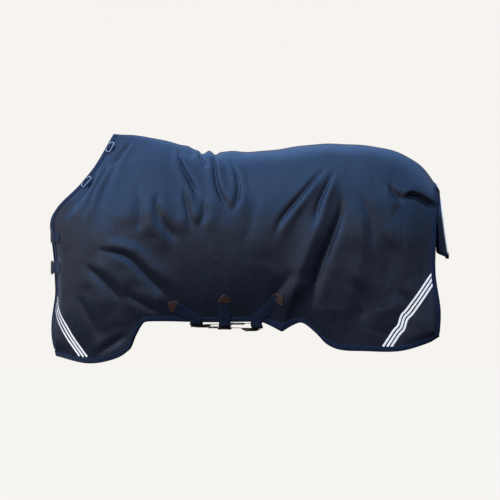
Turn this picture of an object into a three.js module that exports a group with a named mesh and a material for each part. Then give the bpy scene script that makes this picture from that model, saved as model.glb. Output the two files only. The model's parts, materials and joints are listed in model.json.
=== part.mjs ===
// Horse turnout rug in its worn shape, in millimetres, +Z up.
// -X is the chest, +X the tail, -Y the near side and +Y the off side.
// The origin is the middle of the flat underside of the withers pad, where the rug rests on the horse.
// Each side panel is one lofted surface; every other piece takes its place from that surface.
import * as THREE from "three";

// ---- driving dimensions ----
const BODY_LENGTH = 1700; // front edge of the chest to the rear edge of the side panels
const BODY_DEPTH = 1010; // highest point of the neck edge to the lowest point of the hem
const BODY_HALF_WIDTH = 322; // centre line to the widest point of the barrel
const SEAM_GAP = 0.4; // between the near and off panels along the spine
const SHELL_THICKNESS = 2;
const WADDING_THICKNESS = 5;
const LINING_THICKNESS = 1.5;
const PLY_GAP = 0.6; // between two layers, and between a layer and its binding
const BINDING_WIDTH = 20;
const BINDING_THICKNESS = 1.2;
const WEB_WIDTH = 50; // belly and chest webbing
const WEB_THICKNESS = 1.6;
const WEB_LIFT = 4.8; // webbing centre line above the shell, clear of the bindings
const LEATHER_THICKNESS = 2.2;
const METAL_THICKNESS = 3; // slotted plates and T hooks
const BAR_DEPTH = 4; // width of the bar that the webbing wraps
const EYE_CLEARANCE = 0.9; // between a bar's corner and the webbing round it
const SLOT_CLEARANCE = 2; // T hook's neck in its slot, each side
const NECK_WIDTH = 18; // T hook's neck
const HEAD_WIDTH = 36; // T hook's head
const HEAD_LENGTH = 8;
const FRAME_SIDE = 5; // metal beside the webbing in a plate or hook
const RING_LENGTH = 54; // neck ring, along the neck edge, on the wire's centre line
const RING_DEPTH = 19;
const RING_WIRE = 4;
const LOOP_WIDTH = 25;
const LOOP_THICKNESS = 1.2;
const PAD_LENGTH = 180; // withers pad
const PAD_WIDTH = 84;
const PAD_THICKNESS = 38; // below the lining at the spine
const PAD_PLACE = 0.27; // how far along the spine the pad's middle is
const STRIPE_PANEL_WIDTH = 42;
const STRIPE_THICKNESS = 0.8;
const SLIDE_LENGTH = 26; // belly strap adjuster, along the strap
const SLIDE_WALL = 2.5;
const SLIDE_CLEARANCE = 1;
const FLAP_LENGTH = 300;
const FLAP_HALF_WIDTH = 175;
const FLAP_TOP_HALF_WIDTH = 92;
const FLAP_THICKNESS = 5;
const FLAP_SWING_OUT = 33; // how far the flap's lower edge stands behind its hinge
const FLAP_WRAP = 42; // how far the flap's side gussets reach forwards at its foot
const PIPING = 5;

// ---- the shape of one side panel ----
// Ten sections from the front edge to the rear edge. Each has seven points from spine to hem:
// [along the body, out from the centre line, up from the withers].
const DRAWN = { length: 1700, depth: 1010, halfWidth: 322 };
const FRONT_EDGE = {
  near: [[-339, 0, 57], [-418, 118, -88], [-513, 150, -211], [-583, 98, -320],
    [-592, 75, -470], [-588, 70, -690], [-581, 80, -924]],
  off: [[-339, 0, 57], [-418, 118, -88], [-513, 140, -211], [-592, 50, -320],
    [-602, -30, -470], [-596, -28, -690], [-585, 0, -924]],
};
const SECTIONS = [
  [[-290, 0, 53], [-365, 135, -80], [-450, 195, -215], [-525, 190, -335],
    [-552, 175, -480], [-556, 165, -690], [-510, 170, -942]],
  [[-190, 0, 44], [-270, 160, -60], [-330, 245, -215], [-390, 275, -350],
    [-430, 275, -490], [-435, 265, -700], [-380, 255, -942]],
  [[-75, 0, 20], [-130, 175, -60], [-170, 270, -200], [-205, 305, -350],
    [-220, 310, -500], [-215, 300, -680], [-190, 285, -800]],
  [[66, 0, -22], [55, 165, -75], [40, 270, -200], [30, 312, -350],
    [25, 318, -500], [25, 300, -650], [30, 262, -770]],
  [[330, 0, -17], [325, 170, -65], [315, 275, -190], [305, 318, -345],
    [300, 322, -500], [300, 302, -650], [300, 262, -770]],
  [[616, 0, 9], [610, 165, -35], [600, 270, -160], [590, 308, -330],
    [590, 312, -510], [590, 300, -680], [590, 280, -850]],
  [[858, 0, -9], [845, 150, -55], [830, 240, -170], [820, 285, -340],
    [815, 292, -520], [810, 288, -710], [800, 280, -898]],
  [[1000, 0, -75], [985, 120, -115], [975, 205, -215], [965, 258, -370],
    [960, 272, -540], [965, 275, -720], [965, 270, -890]],
  [[1091, 0, -172], [1093, 80, -195], [1090, 145, -260], [1083, 200, -400],
    [1080, 228, -563], [1100, 240, -720], [1095, 240, -836]],
];
// The hem's outline, front to rear: [along, up].
const HEM = [[-581, -924], [-458, -953], [-352, -939], [-273, -898], [-246, -836], [-213, -781],
  [-176, -768], [88, -772], [308, -770], [492, -774], [550, -815], [600, -866], [660, -892],
  [760, -898], [924, -898], [1050, -862], [1095, -836]];
const LEVELS = FRONT_EDGE.near.length - 1;

const stretch = ([x, y, z]) => new THREE.Vector3(
  (x * BODY_LENGTH) / DRAWN.length,
  (y * BODY_HALF_WIDTH) / DRAWN.halfWidth,
  (z * BODY_DEPTH) / DRAWN.depth,
);
const smooth = (points) => new THREE.CatmullRomCurve3(points, false, "catmullrom", 0.5);

// One section as a curve that crosses the spine level, from the first point on the other side.
function sectionCurve(rows) {
  const points = rows.map(stretch);
  const across = points[1].clone();
  across.y = -across.y;
  return smooth([across, ...points]);
}
const PANELS = Object.fromEntries(["near", "off"].map((side) => [
  side,
  [FRONT_EDGE[side], ...SECTIONS].map(sectionCurve),
]));
const SIGN = { near: -1, off: 1 };

// Height of the hem at a place along the body: a smooth line through the outline's points.
function hemHeight(x) {
  const last = HEM.length - 2;
  const points = HEM.map(([along, up]) => stretch([along, 0, up]));
  const found = points.findIndex((point, k) => k > 0 && x < point.x);
  const k = found < 0 ? last : found - 1;
  const slope = (i) => {
    const a = points[Math.max(i - 1, 0)];
    const b = points[Math.min(i + 1, last + 1)];
    return (b.z - a.z) / (b.x - a.x);
  };
  const [a, b] = [points[k], points[k + 1]];
  const span = b.x - a.x;
  const t = THREE.MathUtils.clamp((x - a.x) / span, 0, 1);
  return a.z * (1 + 2 * t) * (1 - t) ** 2 + b.z * t * t * (3 - 2 * t)
    + span * (slope(k) * t * (1 - t) ** 2 - slope(k + 1) * t * t * (1 - t));
}

// A point of the loft before the hem is trimmed: u runs front to rear and v runs spine to hem.
function loft(side, u, v) {
  const along = PANELS[side].map((curve) => curve.getPoint((1 + LEVELS * v) / (LEVELS + 1)));
  return smooth(along).getPoint(u);
}
const HEM_PULL = 5; // how sharply the trim fades above the hem
function surface(side, u, v) {
  const point = loft(side, u, v);
  const edge = loft(side, u, 1);
  point.z += (hemHeight(edge.x) - edge.z) * v ** HEM_PULL;
  point.y = SIGN[side] * (v === 0 ? SEAM_GAP / 2 : point.y);
  return point;
}

// The frame of the cloth at a place: its point, outward normal, and directions along and down.
const STEP = 0.004;
function frameAt(side, u, v) {
  const [u0, u1] = [Math.max(u - STEP, 0), Math.min(u + STEP, 1)];
  const [v0, v1] = [Math.max(v - STEP, 0), Math.min(v + STEP, 1)];
  const along = surface(side, u1, v).sub(surface(side, u0, v));
  const down = surface(side, u, v1).sub(surface(side, u, v0));
  const normal = along.clone().cross(down).multiplyScalar(SIGN[side]);
  if (v === 0) normal.y = 0;
  return {
    point: surface(side, u, v),
    normal: normal.normalize(),
    along: along.divideScalar(u1 - u0),
    down: down.divideScalar(v1 - v0),
  };
}
function onCloth(side, u, v, lift) {
  const { point, normal } = frameAt(side, u, v);
  return point.addScaledVector(normal, lift);
}

// ---- the grid that all layers and bindings share ----
const COLUMNS = 24;
const ROWS = 12;
const ROW_SPREAD = 1.15; // rows are closer together over the spine
const share = (k, count, first, last) => {
  if (k === 0) return 0;
  if (k === count) return 1;
  return first + ((1 - first - last) * (k - 1)) / (count - 2);
};
const edgeShare = (frame, key) => BINDING_WIDTH / frame[key].length();
const grid = Object.fromEntries(["near", "off"].map((side) => {
  const cells = [];
  for (let i = 0; i <= COLUMNS; i += 1) {
    cells.push([]);
    for (let j = 0; j <= ROWS; j += 1) {
      const front = edgeShare(frameAt(side, 0, j / ROWS), "along");
      const rear = edgeShare(frameAt(side, 1, j / ROWS), "along");
      const hem = edgeShare(frameAt(side, i / COLUMNS, 1), "down");
      const u = share(i, COLUMNS, front, rear);
      const v = j === ROWS ? 1 : (1 - hem) * (j / (ROWS - 1)) ** ROW_SPREAD;
      cells[i].push(frameAt(side, u, v));
    }
  }
  return [side, cells];
}));
function gridPoint(side, i, j, lift) {
  const { point, normal } = grid[side][i][j];
  return point.clone().addScaledVector(normal, lift);
}

// ---- solids ----
// A closed body from points and triangles, turned so that its faces point out.
function closedBody(points, triangles) {
  let volume = 0;
  triangles.forEach(([a, b, c]) => {
    volume += points[a].dot(points[b].clone().cross(points[c]));
  });
  const faces = volume < 0 ? triangles.map(([a, b, c]) => [a, c, b]) : triangles;
  const geometry = new THREE.BufferGeometry();
  geometry.setAttribute("position", new THREE.Float32BufferAttribute(points.flatMap((p) => p.toArray()), 3));
  geometry.setIndex(faces.flat());
  geometry.computeVertexNormals();
  return geometry;
}

// A body swept through rings of points, all with the same number of points. Its four-sided faces
// are split along one diagonal, or along the other one for the ring's sides listed in turned.
function sweep(rings, turned = []) {
  const count = rings[0].length;
  const triangles = [];
  for (let k = 0; k + 1 < rings.length; k += 1) {
    for (let m = 0; m < count; m += 1) {
      const [a, b] = [k * count + m, k * count + ((m + 1) % count)];
      if (turned.includes(m)) triangles.push([a, b, a + count], [b, b + count, a + count]);
      else triangles.push([a, b, b + count], [a, b + count, a + count]);
    }
  }
  const first = rings[0][0];
  const across = rings[0][1].clone().sub(first).normalize();
  const forward = rings[1][0].clone().sub(first);
  const up = forward.cross(across).normalize();
  const flat = rings[0].map((p) => {
    const from = p.clone().sub(first);
    return new THREE.Vector2(from.dot(across), from.dot(up));
  });
  const cap = THREE.ShapeUtils.triangulateShape(flat, []);
  const end = (rings.length - 1) * count;
  const clockwise = THREE.ShapeUtils.isClockWise(flat);
  cap.forEach(([a, b, c]) => {
    const face = clockwise ? [a, b, c] : [a, c, b];
    triangles.push(face, [end + face[0], end + face[2], end + face[1]]);
  });
  return closedBody(rings.flat(), triangles);
}

// A closed sheet between two lifts. place gives the point of a column and a row at a lift.
function sheet(columns, rows, place, top, bottom) {
  const points = [];
  [top, bottom].forEach((lift) => {
    for (let i = 0; i <= columns; i += 1) {
      for (let j = 0; j <= rows; j += 1) points.push(place(i, j, lift));
    }
  });
  const under = (columns + 1) * (rows + 1);
  const at = (i, j) => i * (rows + 1) + j;
  const triangles = [];
  const quad = (a, b, c, d) => triangles.push([a, b, c], [a, c, d]);
  for (let i = 0; i < columns; i += 1) {
    for (let j = 0; j < rows; j += 1) {
      const [a, b, c, d] = [at(i, j), at(i + 1, j), at(i + 1, j + 1), at(i, j + 1)];
      quad(a, b, c, d);
      triangles.push([under + a, under + c, under + b], [under + a, under + d, under + c]);
    }
  }
  const wall = (a, b) => quad(b, a, under + a, under + b);
  for (let i = 0; i < columns; i += 1) {
    wall(at(i, 0), at(i + 1, 0));
    wall(at(i + 1, rows), at(i, rows));
  }
  for (let j = 0; j < rows; j += 1) {
    wall(at(0, j + 1), at(0, j));
    wall(at(columns, j), at(columns, j + 1));
  }
  return closedBody(points, triangles);
}

// One layer of a side panel, between two lifts above the shell's outer face.
function layer(side, top, bottom) {
  return sheet(COLUMNS, ROWS, (i, j, lift) => gridPoint(side, i, j, lift), top, bottom);
}
const WADDING_TOP = -SHELL_THICKNESS - PLY_GAP;
const LINING_TOP = WADDING_TOP - WADDING_THICKNESS - PLY_GAP;
const CLOTH_BOTTOM = LINING_TOP - LINING_THICKNESS;

// A binding folded round an edge. Each step gives the edge's place and the place one width inside it.
// Its faces are split as the cloth's are, so that they stay parallel to it.
const SPLIT = { front: [0, 4, 5], rear: [2, 6], hem: [2, 5, 6] };
function binding(steps, split) {
  const high = PLY_GAP + BINDING_THICKNESS;
  const low = CLOTH_BOTTOM - PLY_GAP;
  const rings = steps.map(([edge, inside]) => {
    const out = edge.point.clone().sub(inside.point).normalize();
    const place = (frame, beyond, lift) => frame.point.clone()
      .addScaledVector(out, beyond).addScaledVector(frame.normal, lift);
    return [
      place(inside, 0, high),
      place(edge, high, high),
      place(edge, high, low - BINDING_THICKNESS),
      place(inside, 0, low - BINDING_THICKNESS),
      place(inside, 0, low),
      place(edge, PLY_GAP, low),
      place(edge, PLY_GAP, PLY_GAP),
      place(inside, 0, PLY_GAP),
    ];
  });
  return sweep(rings, split);
}
const CORNER_GAP = 0.04; // share of the hem binding's width left below an end binding
function between(a, b, t) {
  return {
    point: a.point.clone().lerp(b.point, t),
    normal: a.normal.clone().lerp(b.normal, t).normalize(),
  };
}
function endBinding(side, edge, inside) {
  const cells = grid[side];
  const steps = [];
  for (let j = 0; j < ROWS; j += 1) steps.push([cells[edge][j], cells[inside][j]]);
  return binding(steps, edge === 0 ? SPLIT.front : SPLIT.rear);
}
function hemBinding(side) {
  const steps = grid[side].map((column) => [
    column[ROWS],
    between(column[ROWS - 1], column[ROWS], CORNER_GAP),
  ]);
  return binding(steps, SPLIT.hem);
}

// A band's upper face is split as its lower face is, so that they stay parallel.
const BAND_SPLIT = [2];

// A flat band swept along points. A width direction may lean along the run, as where webbing folds
// over an edge at an angle; the band is as wide there, measured square to its run.
function band(points, widths, width, thickness) {
  const rings = points.map((point, k) => {
    const before = points[Math.max(k - 1, 0)];
    const after = points[Math.min(k + 1, points.length - 1)];
    const run = after.clone().sub(before).normalize();
    const across = widths[k].clone().normalize();
    const face = across.clone().cross(run);
    const half = width / 2 / face.length();
    const rise = face.normalize().multiplyScalar(thickness / 2);
    return [[-half, -1], [half, -1], [half, 1], [-half, 1]].map(([a, b]) => (
      point.clone().addScaledVector(across, a).addScaledVector(rise, b)
    ));
  });
  return sweep(rings, BAND_SPLIT);
}

// ---- the group and its finishes ----
const group = new THREE.Group();
const finish = (color, roughness, metalness = 0) => () => (
  new THREE.MeshStandardMaterial({ color, roughness, metalness })
);
const navyCloth = finish(0x24304a, 0.6);
const navyTrim = finish(0x191f45, 0.75);
const wadding = finish(0xe4e4df, 0.95);
const liningCloth = finish(0x2a3350, 0.5);
const fleece = finish(0x8a8f9a, 1);
const leather = finish(0x6b4631, 0.6);
const steel = finish(0xb8bbc0, 0.3, 1);
const brass = finish(0xa88a52, 0.35, 1);
const reflective = finish(0xd8dadd, 0.4);

function add(name, geometry, material) {
  const mesh = new THREE.Mesh(geometry, material());
  mesh.name = name;
  group.add(mesh);
  return mesh;
}
// Stands a mesh at a place, with its own x, y and z along the three given directions.
function stand(mesh, place, x, y) {
  mesh.position.copy(place);
  mesh.quaternion.setFromRotationMatrix(new THREE.Matrix4().makeBasis(x, y, x.clone().cross(y)));
  return mesh;
}
const SIDES = ["near", "off"];
const up = new THREE.Vector3(0, 0, 1);
const front = new THREE.Vector3(-1, 0, 0);

// ---- panels and bindings ----
SIDES.forEach((side) => {
  add(`${side}_shell`, layer(side, 0, -SHELL_THICKNESS), navyCloth);
  add(`${side}_wadding`, layer(side, WADDING_TOP, WADDING_TOP - WADDING_THICKNESS), wadding);
  add(`${side}_lining`, layer(side, LINING_TOP, CLOTH_BOTTOM), liningCloth);
  add(`${side}_front_binding`, endBinding(side, 0, 1), navyTrim);
  add(`${side}_rear_binding`, endBinding(side, COLUMNS, COLUMNS - 1), navyTrim);
  add(`${side}_hem_binding`, hemBinding(side), navyTrim);
});

// ---- withers pad: its top follows the lining and its underside is flat ----
const PAD_CLEARANCE = 1.5;
const PAD_STEP = 1; // least distance from an end of the pad to the next section
const spine = grid.near.map((column) => column[0]);
const padMiddle = frameAt("near", PAD_PLACE, 0);
const padUp = padMiddle.normal.clone();
const padRest = padMiddle.point.clone().setY(0).addScaledVector(padUp, CLOTH_BOTTOM - PAD_THICKNESS);
function liningAt(side, x, out) {
  const i = spine.findIndex((frame, k) => k + 1 < spine.length && x < spine[k + 1].point.x);
  const t = (x - spine[i].point.x) / (spine[i + 1].point.x - spine[i].point.x);
  const lift = CLOTH_BOTTOM - PAD_CLEARANCE;
  const line = (j) => gridPoint(side, i, j, lift).lerp(gridPoint(side, i + 1, j, lift), t);
  const [top, below] = [line(0), line(1)];
  return top.lerp(below, out / top.distanceTo(below));
}
function withersPad() {
  const reach = PAD_LENGTH / 2;
  const middle = padMiddle.point.x;
  const inner = spine.map((frame) => frame.point.x).filter((x) => Math.abs(x - middle) < reach - PAD_STEP);
  const places = [middle - reach, ...inner, middle + reach];
  return sweep(places.map((x) => {
    const tops = [liningAt("near", x, PAD_WIDTH / 2), liningAt("near", x, 0), liningAt("off", x, PAD_WIDTH / 2)];
    tops[1].y = 0;
    const drop = (p) => p.clone().addScaledVector(padUp, -p.clone().sub(padRest).dot(padUp));
    return [...tops, drop(tops[2]), drop(tops[0])];
  }));
}
add("withers_pad", withersPad(), fleece);

// ---- a strap's fastening: a slotted plate and a T hook, each on a bar wrapped by webbing ----
const EYE_RADIUS = Math.hypot(BAR_DEPTH, METAL_THICKNESS) / 2 + EYE_CLEARANCE + WEB_THICKNESS / 2;
const WINDOW_CLEARANCE = 1.5; // webbing to the far edge of its window
const WINDOW_END = EYE_RADIUS + WEB_THICKNESS / 2 + WINDOW_CLEARANCE;
const WEB_BAR = 5; // metal between the webbing's window and the slot or neck
const SLOT_START = WINDOW_END + WEB_BAR;
const SLOT_LENGTH = 18;
const SLOT_MIDDLE = SLOT_START + SLOT_LENGTH / 2;
const PLATE_TILT = THREE.MathUtils.degToRad(13);
const HOOK_REACH = 32; // T hook's bar to where it passes through the slot
const HOOK_TILT = Math.asin((SLOT_MIDDLE * Math.sin(PLATE_TILT)) / HOOK_REACH);
const BAR_SPAN = SLOT_MIDDLE * Math.cos(PLATE_TILT) + HOOK_REACH * Math.cos(HOOK_TILT);
const HEAD_CLEARANCE = 0.5; // T hook's head above the plate
const HEAD_START = HOOK_REACH + (METAL_THICKNESS + HEAD_CLEARANCE) / Math.sin(PLATE_TILT + HOOK_TILT);
const WINDOW_MARGIN = 1; // beside the webbing in its window
const HALF_FRAME = WEB_WIDTH / 2 + WINDOW_MARGIN + FRAME_SIDE;
const LEAD = 24; // straight webbing before each bar
const FOLD_BACK = 18;

function outline(corners) {
  return new THREE.Shape(corners.map(([x, y]) => new THREE.Vector2(x, y)));
}
const rectangle = (halfWidth, low, high) => (
  [[-halfWidth, low], [halfWidth, low], [halfWidth, high], [-halfWidth, high]]
);
function flatMetal(shape, thickness = METAL_THICKNESS) {
  const geometry = new THREE.ExtrudeGeometry(shape, { depth: thickness, bevelEnabled: false });
  return geometry.translate(0, 0, -thickness / 2);
}
const CHAMFER = 4;
function slottedPlate() {
  const end = SLOT_START + SLOT_LENGTH + WEB_BAR;
  const shape = outline([[-HALF_FRAME, -BAR_DEPTH / 2], [HALF_FRAME, -BAR_DEPTH / 2],
    [HALF_FRAME, end - CHAMFER], [HALF_FRAME - CHAMFER, end], [CHAMFER - HALF_FRAME, end],
    [-HALF_FRAME, end - CHAMFER]]);
  shape.holes = [
    outline(rectangle(HALF_FRAME - FRAME_SIDE, BAR_DEPTH / 2, WINDOW_END)),
    outline(rectangle(NECK_WIDTH / 2 + SLOT_CLEARANCE, SLOT_START, SLOT_START + SLOT_LENGTH)),
  ];
  return flatMetal(shape);
}
function tHook() {
  const neck = NECK_WIDTH / 2;
  const head = HEAD_WIDTH / 2;
  const right = [[HALF_FRAME, -BAR_DEPTH / 2], [HALF_FRAME, WINDOW_END], [HALF_FRAME - CHAMFER, SLOT_START],
    [neck, SLOT_START], [neck, HEAD_START], [head, HEAD_START], [head, HEAD_START + HEAD_LENGTH]];
  const left = right.map(([x, y]) => [-x, y]).reverse();
  const shape = outline([...right, ...left]);
  shape.holes = [outline(rectangle(HALF_FRAME - FRAME_SIDE, BAR_DEPTH / 2, WINDOW_END))];
  return flatMetal(shape);
}
// Webbing round a bar: from the straight run, round the far side of the bar, and folded back outside it.
const EYE_STEPS = 8;
function eye(bar, run, out) {
  const points = [];
  for (let k = 0; k <= EYE_STEPS; k += 1) {
    const angle = (Math.PI * k) / EYE_STEPS;
    points.push(bar.clone().addScaledVector(out, -EYE_RADIUS * Math.cos(angle))
      .addScaledVector(run, EYE_RADIUS * Math.sin(angle)));
  }
  points.push(bar.clone().addScaledVector(run, -FOLD_BACK)
    .addScaledVector(out, WEB_THICKNESS + PLY_GAP - EYE_RADIUS));
  return points;
}
// Points of a smooth turn from one heading to another.
const TURN_STEPS = 6;
const TURN_ARM = 0.62; // how squarely webbing turns, as a share of the way across the turn
function turn(from, heading, to, leaving) {
  const arm = from.distanceTo(to) * TURN_ARM;
  const curve = new THREE.CubicBezierCurve3(
    from,
    from.clone().addScaledVector(heading, arm),
    to.clone().addScaledVector(leaving, -arm),
    to,
  );
  return curve.getPoints(TURN_STEPS);
}
// Webbing laid on a panel from a patch to an edge, then turned onto a straight line. Its width is
// square to its run at the patch, and follows the edge where it folds over it.
const LAID_STEPS = 4;
function laidWebbing(side, from, to, lineStart, lineHeading, edgeRun) {
  const laid = [];
  for (let k = 0; k <= LAID_STEPS; k += 1) {
    const t = k / LAID_STEPS;
    laid.push(frameAt(side, from[0] + (to[0] - from[0]) * t, from[1] + (to[1] - from[1]) * t));
  }
  const points = laid.map(({ point, normal }) => point.clone().addScaledVector(normal, WEB_LIFT));
  const square = points[1].clone().sub(points[0]).cross(laid[0].normal).normalize();
  if (square.dot(edgeRun) < 0) square.negate();
  const widths = laid.map(({ normal }, k) => {
    const onEdge = edgeRun.clone().addScaledVector(normal, -edgeRun.dot(normal)).normalize();
    return onEdge.lerp(square, 1 - k / LAID_STEPS);
  });
  const heading = points[LAID_STEPS].clone().sub(points[LAID_STEPS - 1]).normalize();
  const turned = turn(points[LAID_STEPS], heading, lineStart, lineHeading).slice(1);
  points.push(...turned);
  widths.push(...turned.map((_, k) => widths[LAID_STEPS].clone().lerp(edgeRun, (k + 1) / turned.length)));
  return { points, widths, start: laid[0], heading: points[1].clone().sub(points[0]).normalize() };
}
// A leather patch over the sewn end of a strap, with one pointed end.
const PATCH_UP = 20;
const PATCH_DOWN = 18;
const PATCH_SHOULDER = 4;
const PATCH_MARGIN = 3; // beside the webbing
const PATCH_TIP = 0.25; // half width of the pointed end, as a share of the patch's
function patch(name, laid, material) {
  const half = WEB_WIDTH / 2 + PATCH_MARGIN;
  const shape = outline([[-half, -PATCH_DOWN], [half, -PATCH_DOWN], [half, PATCH_SHOULDER],
    [half * PATCH_TIP, PATCH_UP], [-half * PATCH_TIP, PATCH_UP], [-half, PATCH_SHOULDER]]);
  const lift = WEB_LIFT + WEB_THICKNESS / 2 + PLY_GAP * 2 + LEATHER_THICKNESS / 2;
  const back = laid.heading.clone().negate();
  const across = back.clone().cross(laid.start.normal).normalize();
  const place = laid.start.point.clone().addScaledVector(laid.start.normal, lift);
  stand(add(name, flatMetal(shape, LEATHER_THICKNESS), material), place, across, back);
}
function fastening(name, near, off, run, out, materials) {
  const across = run.clone().cross(out).normalize();
  const nearBar = near.points.at(-1).clone().addScaledVector(run, LEAD).addScaledVector(out, EYE_RADIUS);
  const offBar = nearBar.clone().addScaledVector(run, BAR_SPAN);
  const tabEye = eye(nearBar, run, out);
  const tabPoints = [...near.points, ...tabEye];
  const tabWidths = [...near.widths, ...tabEye.map(() => across)];
  add(`${name}_tab`, band(tabPoints, tabWidths, WEB_WIDTH, WEB_THICKNESS), materials.tab);
  const plateRun = run.clone().multiplyScalar(Math.cos(PLATE_TILT)).addScaledVector(out, Math.sin(PLATE_TILT));
  stand(add(`${name}_slot_plate`, slottedPlate(), materials.metal), nearBar, across, plateRun);
  const hookRun = run.clone().multiplyScalar(-Math.cos(HOOK_TILT)).addScaledVector(out, Math.sin(HOOK_TILT));
  stand(add(`${name}_t_hook`, tHook(), materials.metal), offBar, across, hookRun);
  const strapEye = eye(offBar, run.clone().negate(), out);
  const strapPoints = [...off.points, ...strapEye];
  const strapWidths = [...off.widths, ...strapEye.map(() => across)];
  add(`${name}_strap`, band(strapPoints, strapWidths, WEB_WIDTH, WEB_THICKNESS), materials.strap);
  patch(`${name}_off_patch`, off, leather);
}

// ---- belly straps, each crossing under the belly from a near tab to an off patch ----
// Places are shares along and down a panel; a slide's is a share of the way from hook to off hem.
const BELLY = [
  { name: "front_belly", patch: [0.397, 0.89], hem: 0.44, farthest: 2, slide: 0.62 },
  { name: "middle_belly", patch: [0.497, 0.86], hem: 0.497, farthest: 1, slide: 0.88 },
  { name: "rear_belly", patch: [0.59, 0.85], hem: 0.5555, farthest: 0, slide: 0.62 },
];
const HEM_TURN = 15; // webbing line below the hem of the highest strap
const STRAP_SPACING = 8; // between the crossing straps, up and down
const UNDER_TURN = 16; // along the strap, from below the hem to where it runs straight
const HEM_APPROACH = 0.985;
BELLY.forEach(({ name, patch: from, hem, farthest, slide: slidePlace }, order) => {
  const far = BELLY[farthest];
  const nearHem = frameAt("near", hem, 1).point;
  const offHem = frameAt("off", far.hem, 1).point;
  const run = offHem.clone().sub(nearHem).setZ(0).normalize();
  const down = up.clone().negate();
  const level = Math.min(nearHem.z, offHem.z) - HEM_TURN - order * STRAP_SPACING;
  const along = new THREE.Vector3(Math.sign(run.clone().cross(down).x), 0, 0);
  const nearStart = nearHem.clone().addScaledVector(run, UNDER_TURN).setZ(level);
  const offStart = offHem.clone().addScaledVector(run, -UNDER_TURN).setZ(level);
  const near = laidWebbing("near", from, [hem, HEM_APPROACH], nearStart, run, along);
  const off = laidWebbing("off", far.patch, [far.hem, HEM_APPROACH], offStart, run.clone().negate(), along);
  fastening(name, near, off, run, down, { tab: navyTrim, strap: navyTrim, metal: brass });
  patch(`${name}_near_patch`, near, leather);
  const hookEnd = nearStart.clone().addScaledVector(run, LEAD + BAR_SPAN + LEAD);
  const inner = { width: WEB_WIDTH / 2 + SLIDE_CLEARANCE, height: WEB_THICKNESS / 2 + SLIDE_CLEARANCE };
  const frame = outline(rectangle(inner.width + SLIDE_WALL, -inner.height - SLIDE_WALL, inner.height + SLIDE_WALL));
  frame.holes = [outline(rectangle(inner.width, -inner.height, inner.height))];
  const slide = add(`${name}_slide`, flatMetal(frame, SLIDE_LENGTH), steel);
  stand(slide, hookEnd.lerp(offStart, slidePlace), run.clone().cross(down), up);
});

// ---- chest fastenings, across the gap between the two front edges ----
const CHEST = [
  { name: "upper_chest", level: 0.589, strap: leather },
  { name: "lower_chest", level: 0.72, strap: navyTrim },
];
const TAB_START = 0.07;
const TAB_EDGE = 0.012;
const STRAP_START = 0.15;
const STRAP_EDGE = 0.075;
const CHEST_LEAD = 26; // from the near front edge to where the strap runs straight
CHEST.forEach(({ name, level, strap }) => {
  const run = new THREE.Vector3(0, 1, 0);
  const nearEdge = frameAt("near", 0, level).point;
  const offEdge = frameAt("off", 0, level).point;
  const place = offEdge.x - WEB_LIFT - PLY_GAP * 2;
  const nearStart = nearEdge.clone().addScaledVector(run, CHEST_LEAD).setX(place);
  const offStart = nearStart.clone().addScaledVector(run, LEAD + BAR_SPAN + LEAD);
  const near = laidWebbing("near", [TAB_START, level], [TAB_EDGE, level], nearStart, run, up);
  const off = laidWebbing("off", [STRAP_START, level], [STRAP_EDGE, level], offStart, run.clone().negate(), up);
  fastening(name, near, off, run, front, { tab: navyTrim, strap, metal: brass });
});

// ---- neck rings in their loops ----
const RING_INSET = 6; // neck edge to the ring's held bar
const RING_CORNER = 7;
const RING_SIDES = 8;
const CORNER_STEPS = 4;
const LOOP_GAP = 0.5;
const LOOP_REACH = 32;
const LOOP_RETURN = 8;
const LOOP_LIFT = PLY_GAP + BINDING_THICKNESS + LOOP_GAP + LOOP_THICKNESS / 2;
const LOOP_EYE = RING_WIRE / 2 + LOOP_GAP + LOOP_THICKNESS / 2;
function ringBody() {
  const [halfLength, halfDepth] = [RING_LENGTH / 2 - RING_CORNER, RING_DEPTH / 2 - RING_CORNER];
  const points = [];
  for (let corner = 0; corner < 4; corner += 1) {
    const [sx, sy] = [[1, 1], [-1, 1], [-1, -1], [1, -1]][corner];
    for (let k = 0; k <= CORNER_STEPS; k += 1) {
      const angle = (Math.PI / 2) * (corner + k / CORNER_STEPS);
      const radial = new THREE.Vector3(Math.cos(angle), Math.sin(angle), 0);
      const middle = new THREE.Vector3(sx * halfLength, sy * halfDepth + RING_DEPTH / 2, 0);
      points.push({ middle: middle.addScaledVector(radial, RING_CORNER), radial });
    }
  }
  const rings = points.map(({ middle, radial }) => Array.from({ length: RING_SIDES }, (_, k) => {
    const angle = (2 * Math.PI * k) / RING_SIDES;
    return middle.clone().addScaledVector(radial, (RING_WIRE / 2) * Math.cos(angle))
      .addScaledVector(up, (RING_WIRE / 2) * Math.sin(angle));
  }));
  const triangles = [];
  rings.forEach((_, k) => {
    const next = ((k + 1) % rings.length) * RING_SIDES;
    for (let m = 0; m < RING_SIDES; m += 1) {
      const [a, b] = [k * RING_SIDES + m, k * RING_SIDES + ((m + 1) % RING_SIDES)];
      const [c, d] = [next + ((m + 1) % RING_SIDES), next + m];
      triangles.push([a, b, c], [a, c, d]);
    }
  });
  return closedBody(rings.flat(), triangles);
}
const RINGS = { upper: 0.085, lower: 0.25 }; // shares down the neck edge
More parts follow.
